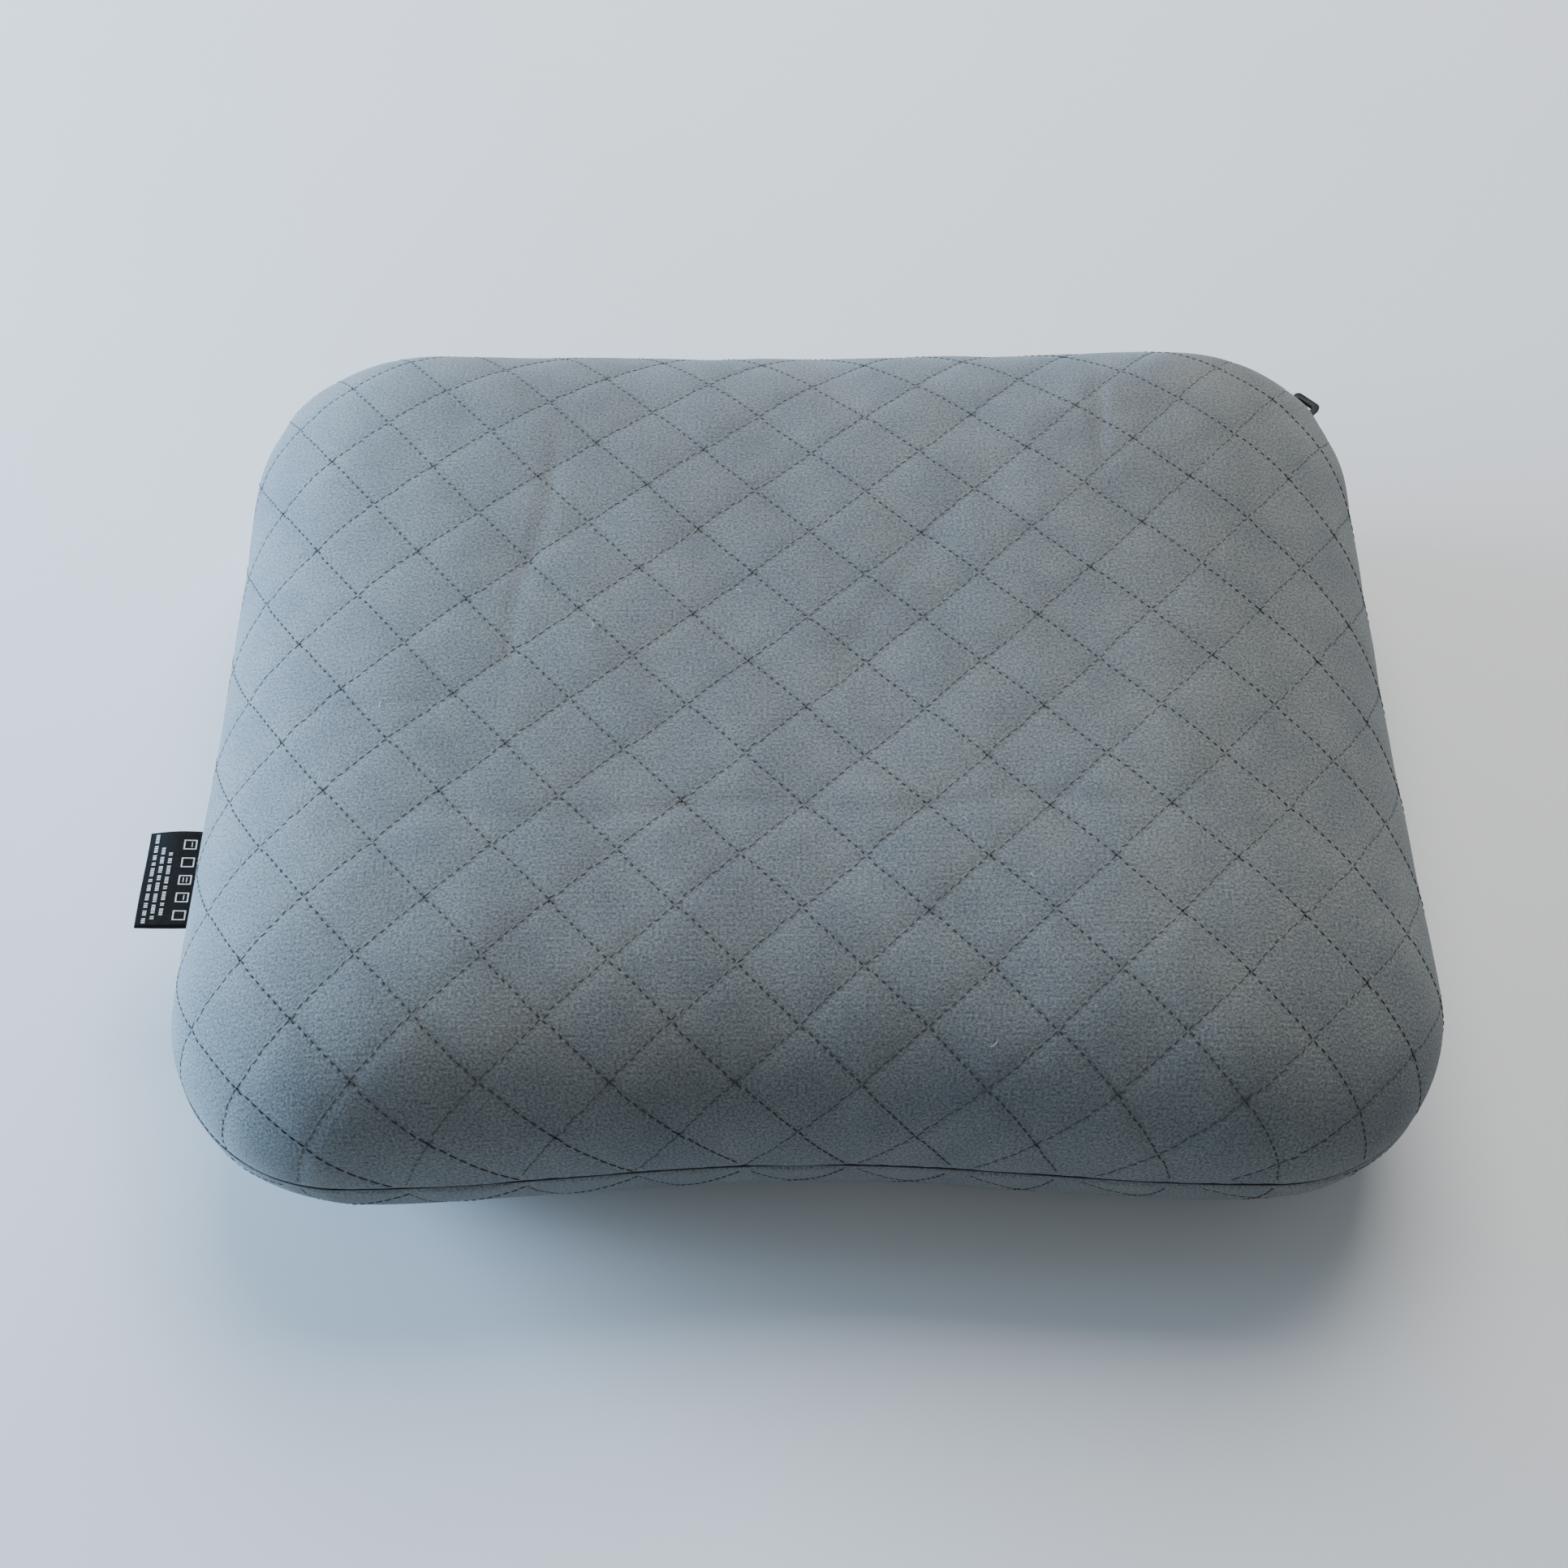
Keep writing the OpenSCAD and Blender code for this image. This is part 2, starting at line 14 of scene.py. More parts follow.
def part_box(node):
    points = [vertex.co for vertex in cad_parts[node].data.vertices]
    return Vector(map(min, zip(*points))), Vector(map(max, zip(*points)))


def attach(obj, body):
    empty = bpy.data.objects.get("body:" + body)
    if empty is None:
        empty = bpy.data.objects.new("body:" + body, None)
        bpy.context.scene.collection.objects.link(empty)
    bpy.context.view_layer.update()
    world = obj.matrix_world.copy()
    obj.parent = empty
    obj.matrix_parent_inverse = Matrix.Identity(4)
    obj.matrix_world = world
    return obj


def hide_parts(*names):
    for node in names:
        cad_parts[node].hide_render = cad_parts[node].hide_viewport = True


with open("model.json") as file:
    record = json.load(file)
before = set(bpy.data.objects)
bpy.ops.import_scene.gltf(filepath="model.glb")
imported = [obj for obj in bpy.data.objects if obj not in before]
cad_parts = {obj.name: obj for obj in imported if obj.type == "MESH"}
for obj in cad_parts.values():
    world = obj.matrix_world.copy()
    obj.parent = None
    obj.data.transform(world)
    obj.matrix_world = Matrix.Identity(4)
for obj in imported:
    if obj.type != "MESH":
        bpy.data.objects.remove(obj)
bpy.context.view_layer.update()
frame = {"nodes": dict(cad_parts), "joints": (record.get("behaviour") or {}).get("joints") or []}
mm = 0.001
rng = np.random.default_rng(7)

# ---------- sizes ----------

# From the frame

JOINT = {j["name"]: j for j in frame["joints"]}
HALF_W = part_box("cover_top")[1].x
HALF_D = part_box("cover_top")[1].y
PILLOW_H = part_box("cover_top")[1].z
SEAM_Z = JOINT["slider_travel"]["pos_m"][2]
CORNER_X, CORNER_Y = JOINT["slider_travel"]["pos_m"][:2]
CORNER_R = HALF_W - CORNER_X
COS_45 = 0.7071

# The cover: how far each edge bows in, how round each half is, and the opening that the zip fills
FRONT_SCOOP = 8 * mm
REAR_SCOOP = 2 * mm
SIDE_SCOOP = 1 * mm
FACE_T = 1.2 * mm
TOP_POWER = 5.5
BOTTOM_POWER = 7
CROWN_FALL = 0.03
FLAT_SINK = 3 * mm
SEAM_SLIT = 0.1 * mm
ZIP_SLOT = 3.5 * mm
ZIP_FROM = 22.5
ZIP_FULL = 33.75

# The layers under the face: how deep they lie, how thick they are, where they are trimmed
WADDING_OFF = 2.1 * mm
WADDING_T = 3 * mm
LINING_OFF = 5.4 * mm
LINING_T = 0.6 * mm
LAYER_TRIM = 1.2 * mm
TAPE_TRIM = 10 * mm
LAYER_GRID = 72
LAYER_RINGS = 40
LAYER_DRAW = 0.6
LAYER_HOLE_CLEAR = 0.6 * mm

# Quilting: diamonds sewn on the flat panel before it is cut
DIAMOND_W = 41.6 * mm
DIAMOND_D = 39.4 * mm
QUILT_TURN = math.radians(-1.45)
QUILT_SHIFT = (-61.4 * mm, -3.8 * mm)
QUILT_BOW = 16.7 * mm
QUILT_FLARE = 22.3 * mm
QUILT_PINCH = -4.7 * mm
QUILT_SPAN = 200 * mm
BEND_ROUNDS = 8
LINE_GAP = DIAMOND_W * DIAMOND_D / math.hypot(DIAMOND_W, DIAMOND_D)
PUFF = 0.16 * mm
PUFF_WIDTH = 5.5 * mm
GROOVE = 0.19 * mm
GROOVE_WIDTH = 1.5 * mm
GROOVE_MOST = 1.3

# Stitches: how many to a diamond's side, and where along one its five points lie
STITCHES_PER_SIDE = 9
STITCH_POINTS = np.array([0.0, 0.22, 0.5, 0.78, 1.0])
STITCH_TAPER = np.array([0.5, 1, 1, 1, 0.5])
STITCH_SIDES = 5
STITCH_OVERLAP = 1.04
STITCH_SPREAD = 0.012
LINES_EACH_WAY = 16
ROW_JOG = 0.5 * mm
RIM_CLOSING = 75 * mm
RIM_CLEAR = 1.5 * mm
HOLE_CLEAR = 1.5 * mm
FLOOR_CLEAR = 0.4 * mm
PANEL_REACH = 0.33

# The drawn-in seam and its puckers, which ease off along the zip
SEAM_DRAW = 0.75 * mm
SEAM_WIDTH = 1.3 * mm
PUCKER = 0.22
PUCKER_WAVES = (151, 37)
ZIP_EASE = 0.6

# Fullness over the rear shoulders, by direction and by ring
CORNER_FILL = 1.6 * mm
CORNER_FILL_TURN = math.radians(12)
SHOULDER_FROM = 0.6
SHOULDER_RISE = 0.34
SHOULDER_END = 0.035

# Slow unevenness, and faint fold lines: middle, direction in degrees, half length, half width, depth
RIPPLE = 0.28 * mm
CREASE_WANDER = 2.2 * mm
CREASE_WAVE = 60
CREASES = [
    ((0.00, -0.066), 1, 0.15, 0.0040, 0.45 * mm),
    ((-0.10, 0.045), 84, 0.055, 0.0035, 0.40 * mm),
    ((0.115, 0.112), 92, 0.022, 0.0030, 0.45 * mm),
    ((0.035, 0.030), 62, 0.040, 0.0045, 0.25 * mm),
    ((-0.155, -0.02), 8, 0.030, 0.0030, 0.30 * mm),
    ((0.150, -0.03), 78, 0.045, 0.0045, 0.25 * mm),
]

# How finely the surface is tabled
OUTLINE_STEPS = 240
TURN_STEPS = 4001
RING_STEPS = 900
POLE_STEPS = 120
POLE_PART = 40
REACH_STEPS = 46
REACH_RANGE = (0.12, 0.3)
HALVINGS = 26
NORMAL_STEP = 0.0015
RIM_CROWDING = 0.1
FLAT_SHARE = 0.8
POLE_RING = 0.03
FIRST_RING = 0.01

# The label, the zip and the hard parts' edges
LABEL_OPEN = 3.2 * mm
RIBBON_T = 0.22 * mm
LEAF_POINTS = 12
FOLD_POINTS = 7
FOLD_R = 0.35 * mm
ZIP_START = 36
TEETH_OFF = 1.4 * mm
TEETH_LATER = 1.2
TOOTH_PITCH = 1.5 * mm
TOOTH_R = 0.34 * mm
TAPE_OFF = 2.6 * mm
TAPE_EARLIER = 4
TAPE_HALF_T = 0.24 * mm
EDGE_ROUND = 0.18 * mm


# ---------- the pillow's surface ----------


def bow(t):
    """How far in an edge is at t, -1 to 1 along it: 0 at both ends and 1 in the middle."""
    return np.cos(math.pi / 2 * t) ** 2


class Outline:
    """The plan outline at the seam, drawn in by off. A place on it is a turn from 0 to 1."""

    def __init__(self, off=0.0):
        r = CORNER_R - off
        run = np.linspace(0, 1, OUTLINE_STEPS, endpoint=False)
        xs, ys, share = [], [], []

        def arc(sx, sy, start):
            a = np.radians(start + 90 * run)
            xs.append(sx * CORNER_X + r * np.cos(a))
            ys.append(sy * CORNER_Y + r * np.sin(a))
            lean = np.degrees(np.arcsin(np.abs(np.sin(a))))
            rise = np.clip((lean - ZIP_FROM) / (ZIP_FULL - ZIP_FROM), 0, 1)
            share.append(rise * rise * (3 - 2 * rise) if sy > 0 else 0 * rise)

        def edge(x, y, zip_share):
            xs.append(x)
            ys.append(y)
            share.append(np.full(OUTLINE_STEPS, float(zip_share)))

        t = 1 - 2 * run
        arc(1, 1, 0)
        edge(CORNER_X * t, HALF_D - off - REAR_SCOOP * bow(t), 1)
        arc(-1, 1, 90)
        edge(-(HALF_W - off - SIDE_SCOOP * bow(t)), CORNER_Y * t, 0)
        arc(-1, -1, 180)
        edge(-CORNER_X * t, -(HALF_D - off - FRONT_SCOOP * bow(t)), 0)
        arc(1, -1, 270)
        edge(HALF_W - off - SIDE_SCOOP * bow(t), -CORNER_Y * t, 0)
        self.x, self.y, self.share = (np.concatenate(v) for v in (xs, ys, share))
        angle = np.arctan2(self.y, self.x)
        order = np.argsort(angle)
        self.angle = angle[order]
        self.radius = np.hypot(self.x, self.y)[order]
        self.by_angle_share = self.share[order]
        # Turn 0 is the middle of the right edge, and each eighth ends in an edge or corner middle
        diagonal = math.atan2(CORNER_Y + r * COS_45, CORNER_X + r * COS_45)
        half = [0, diagonal, math.pi / 2, math.pi - diagonal]
        self.eighths = np.array(half + [a + math.pi for a in half] + [2 * math.pi])

    def angle_at(self, turn):
        """The direction from the middle at a turn. Each eighth runs evenly along the outline."""
        turn = np.asarray(turn) % 1
        fine = np.linspace(0, 2 * math.pi, TURN_STEPS)
        r = self.reach(fine)
        step = np.hypot(np.diff(r * np.cos(fine)), np.diff(r * np.sin(fine)))
        length = np.concatenate([[0], np.cumsum(step)])
        marks = np.interp(self.eighths, fine, length)
        return np.interp(np.interp(turn * 8, np.arange(9), marks), length, fine)

    def reach(self, angle):
        return np.interp(angle, self.angle, self.radius, period=2 * math.pi)

    def zip_share(self, angle):
        return np.interp(angle, self.angle, self.by_angle_share, period=2 * math.pi)


class Dome:
    """One domed half of a layer. A point is a direction and a ring s, 0 at the pole, 1 at the rim."""

    def __init__(self, side, off=0.0):
        self.side, self.off = side, off
        self.power = TOP_POWER if side > 0 else BOTTOM_POWER
        self.outline = Outline(off)
        self.span = (PILLOW_H - SEAM_Z if side > 0 else SEAM_Z + FLAT_SINK) - off
        # Arc length out from the pole, tabled over the outline's reach and the ring
        s = np.sin(np.linspace(0, math.pi / 2, RING_STEPS)) ** (2 / self.power)
        near = np.linspace(0, s[POLE_PART], POLE_STEPS)
        self.s = np.unique(np.concatenate([near, s[POLE_PART:]]))
        self.reaches = np.linspace(*REACH_RANGE, REACH_STEPS)
        z = self.span * self.fall(self.s)
        if side < 0:
            z = np.minimum(z, SEAM_Z - off)
        step = np.hypot(np.diff(self.s)[None] * self.reaches[:, None], np.diff(z)[None])
        self.table = np.concatenate([np.zeros((REACH_STEPS, 1)), np.cumsum(step, 1)], 1)

    def fall(self, s):
        """Height left over the rim at ring s, as a share of the dome's."""
        f = np.sqrt(np.maximum(0, 1 - s**self.power))
        return f * (1 - CROWN_FALL * s * s) if self.side > 0 else f

    def cut(self, angle):
        """How far the layer's edge stands off the seam."""
        return SEAM_SLIT + (ZIP_SLOT - SEAM_SLIT) * self.outline.zip_share(angle)

    def base(self, angle, s):
        r = self.outline.reach(angle) * s
        cut = self.cut(angle)
        z = cut + (self.span - cut) * self.fall(s)
        z = SEAM_Z + z if self.side > 0 else np.maximum(self.off, SEAM_Z - z)
        return np.stack([r * np.cos(angle), r * np.sin(angle), z], -1)

    def normal(self, angle, s):
        e = NORMAL_STEP
        s1, s0 = np.minimum(s + e, 1), np.maximum(s - e, FIRST_RING)
        across = self.base(angle, s1) - self.base(angle, s0)
        ring = np.maximum(s, FIRST_RING)
        round_ = self.base(angle + e, ring) - self.base(angle - e, ring)
        n = np.cross(across, round_) * self.side
        n /= np.linalg.norm(n, axis=-1, keepdims=True) + 1e-12
        near_pole = (s < POLE_RING)[..., None]
        return np.where(near_pole, np.array([0, 0, float(self.side)]), n)

    def out_length(self, reach, s):
        """Arc length from the pole to ring s, in a direction where the outline is at reach."""
        i = (reach - self.reaches[0]) / (self.reaches[1] - self.reaches[0])
        i = np.clip(i, 0, REACH_STEPS - 1.001)
        k = np.interp(s, self.s, np.arange(len(self.s)))
        i0, k0 = i.astype(int), np.minimum(k.astype(int), len(self.s) - 2)
        over_i, over_k = i - i0, k - k0
        t = self.table
        low = t[i0, k0] * (1 - over_k) + t[i0, k0 + 1] * over_k
        high = t[i0 + 1, k0] * (1 - over_k) + t[i0 + 1, k0 + 1] * over_k
        return low * (1 - over_i) + high * over_i

    def ring_at(self, reach, want, limit):
        """The ring, up to limit, that lies want out from the pole along the surface."""
        low, high = np.zeros_like(want), limit
        for _ in range(HALVINGS):
            s = (low + high) / 2
            short = self.out_length(reach, s) < want
            low, high = np.where(short, s, low), np.where(short, high, s)
        return s

    def fabric(self, angle, s):
        """Place on the flat panel: straight out from the middle by the arc length."""
        d = self.out_length(self.outline.reach(angle), s)
        return d * np.cos(angle), d * np.sin(angle)

    def from_fabric(self, x, y):
        """The direction and ring of a place on the flat panel, and how far it is inside the rim."""
        angle, want = np.arctan2(y, x), np.hypot(x, y)
        reach = self.outline.reach(angle)
        s = self.ring_at(reach, want, np.ones_like(want))
        return angle, s, self.out_length(reach, np.ones_like(s)) - want


# ---------- quilting ----------


def quilt_to_fabric(i, j, side):
    """Place on the flat panel of the lattice point (i, j). Sewn lines run at whole i and whole j."""
    a, b = (i + j) * DIAMOND_W / 2, (i - j) * DIAMOND_D / 2
    c, s = math.cos(QUILT_TURN), math.sin(QUILT_TURN)
    x, y = c * a - s * b + QUILT_SHIFT[0], s * a + c * b + QUILT_SHIFT[1]
    if side < 0:
        return x, y
    u, v = x / QUILT_SPAN, y / QUILT_SPAN
    return x + QUILT_PINCH * u * v, y + QUILT_BOW * u * u + QUILT_FLARE * u * u * v


def fabric_to_quilt(x, y, side):
    """The reverse, by a few rounds of correction."""
    fx, fy = x, y
    if side > 0:
        for _ in range(BEND_ROUNDS):
            u, v = fx / QUILT_SPAN, fy / QUILT_SPAN
            fx = x - QUILT_PINCH * u * v
            fy = y - QUILT_BOW * u * u - QUILT_FLARE * u * u * v
    px, py = fx - QUILT_SHIFT[0], fy - QUILT_SHIFT[1]
    c, s = math.cos(QUILT_TURN), math.sin(QUILT_TURN)
    a, b = c * px + s * py, -s * px + c * py
    return a / DIAMOND_W + b / DIAMOND_D, a / DIAMOND_W - b / DIAMOND_D


def line_distance(k):
    """Distance to the nearest sewn line of one family."""
    return np.abs(k - np.round(k)) * LINE_GAP


def quilt_relief(x, y, side):
    """Height of the quilted face over its base surface at a place on the flat panel."""
    i, j = fabric_to_quilt(x, y, side)
    back, forward = line_distance(i), line_distance(j)
    puff = (1 - np.exp(-((back / PUFF_WIDTH) ** 2))) * (1 - np.exp(-((forward / PUFF_WIDTH) ** 2)))
    groove = np.exp(-((back / GROOVE_WIDTH) ** 2)) + np.exp(-((forward / GROOVE_WIDTH) ** 2))
    return PUFF * puff - GROOVE * np.minimum(groove, GROOVE_MOST)


def ripple(x, y):
    """Slow unevenness of the stuffed form: crossed waves of about 9 cm and 5 cm."""
    return RIPPLE * (
        np.sin(71 * x + 23 * y + 0.4) * np.sin(54 * y - 18 * x)
        + 0.6 * np.sin(131 * x - 47 * y + 1.9) * np.sin(103 * y + 31 * x + 0.7)
    )


def creases(x, y):
    """Fold lines, each wandering a little from straight."""
    depth = np.zeros_like(x)
    for (cx, cy), degrees, half, width, deep in CREASES:
        c, s = math.cos(math.radians(degrees)), math.sin(math.radians(degrees))
        along = (x - cx) * c + (y - cy) * s
        across = -(x - cx) * s + (y - cy) * c + CREASE_WANDER * np.sin(along * CREASE_WAVE)
        depth -= deep * np.exp(-((across / width) ** 2) - (along / half) ** 4)
    return depth


def corner_fullness(angle, s):
    """The core fills the rear corners of the cover out, most of all over the shoulder."""
    lean = np.zeros_like(angle)
    for sign in (1, -1):
        middle = math.atan2(CORNER_Y + CORNER_R * COS_45, sign * (CORNER_X + CORNER_R * COS_45))
        off = np.angle(np.exp(1j * (angle - middle)))
        lean = lean + np.exp(-((off / CORNER_FILL_TURN) ** 2))
    rise = np.clip((s - SHOULDER_FROM) / SHOULDER_RISE, 0, 1)
    shoulder = rise * np.clip((1 - s) / SHOULDER_END, 0, 1)
    return CORNER_FILL * lean * shoulder * shoulder * (3 - 2 * shoulder)


def cover_height(dome, angle, s, x, y):
    """Everything that lies on the base surface: quilting, creases, and the drawn-in seam."""
    inside = dome.out_length(dome.outline.reach(angle), np.ones_like(s)) - np.hypot(x, y)
    h = quilt_relief(x, y, dome.side) + ripple(x, y)
    if dome.side > 0:
        h = h + creases(x, y) + corner_fullness(angle, s)
    fine, slow = PUCKER_WAVES
    pucker = 1 + PUCKER * np.sin(angle * fine) * np.sin(angle * slow + 1)
    draw = SEAM_DRAW * pucker * (1 - ZIP_EASE * dome.outline.zip_share(angle))
    edge = np.exp(-((inside / SEAM_WIDTH) ** 2))
    return h * (1 - edge) - draw * edge


def on_cover(dome, x, y, lift):
    """Points on the finished face at places on the flat panel, lifted off it."""
    angle, s, inside = dome.from_fabric(x, y)
    p, n = dome.base(angle, s), dome.normal(angle, s)
    h = cover_height(dome, angle, s, x, y)
    return p + n * (h + lift)[..., None], n, inside


# ---------- mesh helpers ----------


def new_piece(name, verts, faces, smooth=True):
    """A mesh piece that rides on the pillow."""
    mesh = bpy.data.meshes.new(name)
    mesh.from_pydata([tuple(v) for v in verts], [], faces)
    mesh.update()
    piece = bpy.data.objects.new(name, mesh)
    bpy.context.scene.collection.objects.link(piece)
    mesh.polygons.foreach_set("use_smooth", [smooth] * len(mesh.polygons))
    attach(piece, "pillow")
    return piece


def point_attribute(piece, name, values):
    layer = piece.data.attributes.new(name, "FLOAT_VECTOR", "POINT")
    layer.data.foreach_set("vector", np.asarray(values, np.float32).ravel())


def face_outwards(piece):
    bm = bmesh.new()
    bm.from_mesh(piece.data)
    bmesh.ops.recalc_face_normals(bm, faces=bm.faces)
    bm.to_mesh(piece.data)
    bm.free()


def paint(piece, *materials):
    piece.data.materials.clear()
    for m in materials:
        piece.data.materials.append(m)


def grid_faces(index):
    """The quads of a grid of vertex numbers."""
    quads = np.stack([index[:-1, :-1], index[1:, :-1], index[1:, 1:], index[:-1, 1:]], -1)
    return quads.reshape(-1, 4).tolist()


def edge_faces(index, shift):
    """The quads round the border of a grid, down to a second one whose numbers are shift higher."""
    border = [*index[0], *index[1:, -1], *index[-1, -2::-1], *index[-2:0:-1, 0]]
    border = [int(v) for v in border]
    return [[a, b, b + shift, a + shift] for a, b in zip(border, border[1:] + border[:1])]


def outwards(path):
    """The direction to the right of a flat path at each of its points."""
    along = np.gradient(path, axis=0)
    out = np.stack([along[:, 1], -along[:, 0]], 1)
    return out / np.linalg.norm(out, axis=1, keepdims=True)


def square_turns(k):
    """The turn and ring share of each point of a square grid, whose rings become outlines."""
    a, b = np.meshgrid(np.arange(-k, k + 1), np.arange(-k, k + 1), indexing="ij")
    ring = np.maximum(np.abs(a), np.abs(b))
    safe = np.maximum(ring, 1)
    right = (b / safe) / 8
    rear = 0.25 - (a / safe) / 8
    left = 0.5 - (b / safe) / 8
    front = 0.75 + (a / safe) / 8
    turn = np.where(
        np.abs(a) >= np.abs(b), np.where(a > 0, right, left), np.where(b > 0, rear, front)
    )
    return turn % 1, ring / k


def domed_piece(name, dome, k, thick, height, inner_rings, trim=None):
    """A closed domed shell: a fine square grid outside, coarse rings inside, joined round the rim."""
    turn, share = square_turns(k)
    angle = dome.outline.angle_at(turn)
    reach = dome.outline.reach(angle)
    limit = np.ones_like(reach)
    if trim is not None:
        limit = trim(dome, angle)
    rim_length = dome.out_length(reach, limit)
    crowded = (1 + RIM_CROWDING) * share - RIM_CROWDING * share**9
    s = dome.ring_at(reach, crowded * rim_length, limit)
    s = np.where(share >= 1, limit, s)
    x, y = dome.fabric(angle, s)
    p = dome.base(angle, s) + dome.normal(angle, s) * height(dome, angle, s, x, y)[..., None]
    if dome.side < 0:
        p[..., 2] = np.maximum(p[..., 2], dome.off)
    m = 2 * k + 1
    index = np.arange(m * m).reshape(m, m)
    faces = grid_faces(index)
    edge = np.concatenate(
        [index[-1, k:-1], index[:0:-1, -1], index[0, :0:-1], index[:-1, 0], index[-1, :k]]
    )
    verts = [p.reshape(-1, 3)]
    flat = [np.stack([x, y, 0 * x], -1).reshape(-1, 3)]
    rim_angle, rim_limit = angle.ravel()[edge], limit.ravel()[edge]
    inner = Dome(dome.side, dome.off + thick)
    inner.cut = dome.cut  # both faces end at the same height
    previous, count = edge, m * m
    for q in np.linspace(1, 0, inner_rings + 1)[:-1]:
        ring_s = np.minimum(rim_limit, np.sin(q * math.pi / 2) ** (2 / dome.power))
        ring = inner.base(rim_angle, ring_s)
        draw = height(dome, rim_angle, ring_s, *dome.fabric(rim_angle, ring_s))
        ring += inner.normal(rim_angle, ring_s) * np.minimum(draw, 0)[:, None]
        if dome.side < 0:
            ring[:, 2] = np.maximum(ring[:, 2], dome.off + thick * FLAT_SHARE)
        verts.append(ring)
        fx, fy = dome.fabric(rim_angle, ring_s)
        flat.append(np.stack([fx, fy, 0 * fx], -1))
        row = np.arange(count, count + len(edge))
        after = np.roll(row, -1)
        faces += np.stack([previous, np.roll(previous, -1), after, row], -1).tolist()
        previous, count = row, count + len(edge)
    pole = inner.base(np.zeros(1), np.zeros(1))
    verts.append(pole)
    flat.append(np.zeros((1, 3)))
    faces += [[int(a), int(b), count] for a, b in zip(previous, np.roll(previous, -1))]
    piece = new_piece(name, np.concatenate(verts), faces)
    point_attribute(piece, "fabric", np.concatenate(flat))
    face_outwards(piece)
    return piece


def tube_mesh(paths, radii, sides):
    """Many short closed tubes as one mesh. paths: (tube, point, xyz), radii: one a point."""
    paths = np.asarray(paths)
    count, points, _ = paths.shape
    along = np.gradient(paths, axis=1)
    along /= np.linalg.norm(along, axis=-1, keepdims=True) + 1e-12
    up = np.where(np.abs(along[..., 2:3]) > 0.8, [[[1.0, 0, 0]]], [[[0, 0, 1.0]]])
    u = np.cross(along, up)
    u /= np.linalg.norm(u, axis=-1, keepdims=True) + 1e-12
    v = np.cross(along, u)
    turn = np.arange(sides) * 2 * math.pi / sides
    r = np.broadcast_to(np.asarray(radii, float), (count, points))[..., None, None]
    ring = paths[:, :, None] + r * (
        np.cos(turn)[:, None] * u[:, :, None] + np.sin(turn)[:, None] * v[:, :, None]
    )
    verts = ring.reshape(-1, 3)
    first = (np.arange(count) * points * sides)[:, None, None]
    row = (np.arange(points - 1) * sides)[None, :, None]
    a = first + row + np.arange(sides)[None, None]
    b = first + row + ((np.arange(sides) + 1) % sides)[None, None]
    faces = np.stack([a, b, b + sides, a + sides], -1).reshape(-1, 4).tolist()
    for end, flip in ((0, True), ((points - 1) * sides, False)):
        cap = first[:, 0] + end + np.arange(sides)[None]
        faces += (cap[:, ::-1] if flip else cap).tolist()
    return verts, faces


def tube_piece(name, paths, radii, sides, material):
    piece = new_piece(name, *tube_mesh(paths, radii, sides))
    face_outwards(piece)
    paint(piece, material)
    return piece


# ---------- materials ----------


THREADS_SCALE = 0.157  # a wave texture's scale for one thread a metre


class Nodes:
    """A short way to write a procedural material."""

    def __init__(self, name, roughness, **sockets):
        self.material = bpy.data.materials.new(name)
        self.material.use_nodes = True
        self.tree = self.material.node_tree
        self.shader = self.tree.nodes["Principled BSDF"]
        self.shader.inputs["Roughness"].default_value = roughness
        for key, value in sockets.items():
            self.shader.inputs[key.replace("_", " ")].default_value = value

    def add(self, kind, inputs=None, **settings):
        """A node with its settings, and each input linked if it is given a socket, else set."""
        node = self.tree.nodes.new(kind)
        for key, value in settings.items():
            setattr(node, key, value)
        for key, value in (inputs or {}).items():
            socket = node.inputs[key]
            if isinstance(value, bpy.types.NodeSocket):
                self.tree.links.new(value, socket)
            else:
                socket.default_value = value
        return node

    def place(self, attribute=None):
        """Where the shader is: in the object's own space, or as a point attribute says."""
        if attribute:
            return self.add("ShaderNodeAttribute", attribute_name=attribute).outputs["Vector"]
        return self.add("ShaderNodeTexCoord").outputs["Object"]

    def noise(self, vector, scale, detail=2.0, rough=0.55, stretch=None):
        if stretch:
            vector = self.add("ShaderNodeMapping", {"Vector": vector, "Scale": stretch}).outputs[0]
        given = {"Vector": vector, "Scale": scale, "Detail": detail, "Roughness": rough}
        return self.add("ShaderNodeTexNoise", given).outputs["Fac"]

    def wave(self, vector, scale, direction, distortion):
        given = {"Vector": vector, "Scale": scale, "Distortion": distortion, "Detail Scale": 2.0}
        return self.add("ShaderNodeTexWave", given, bands_direction=direction).outputs["Fac"]

    def ramp(self, factor, stops):
        node = self.add("ShaderNodeValToRGB", {"Fac": factor})
        while len(node.color_ramp.elements) < len(stops):
            node.color_ramp.elements.new(0.5)
        for element, (place, colour) in zip(node.color_ramp.elements, stops):
            element.position = place
            element.color = (*colour, 1)
        return node.outputs["Color"]

    def math(self, operation, a, b):
        return self.add("ShaderNodeMath", {0: a, 1: b}, operation=operation).outputs[0]

    def multiply(self, a, b):
        """Two colours multiplied. The mix node's inputs 0, 6 and 7 are its factor and colours."""
        given = {0: 1.0, 6: a, 7: b}
        node = self.add("ShaderNodeMix", given, data_type="RGBA", blend_type="MULTIPLY")
        return node.outputs[2]

    def bump(self, height, distance, strength, normal=None):
        given = {"Height": height, "Distance": distance, "Strength": strength}
        if normal is not None:
            given["Normal"] = normal
        return self.add("ShaderNodeBump", given).outputs["Normal"]

    def link(self, output, name):
        self.tree.links.new(output, self.shader.inputs[name])


def times(colour, factor):
    return tuple(c * factor for c in colour)


def grey(value):
    return (value,) * 3


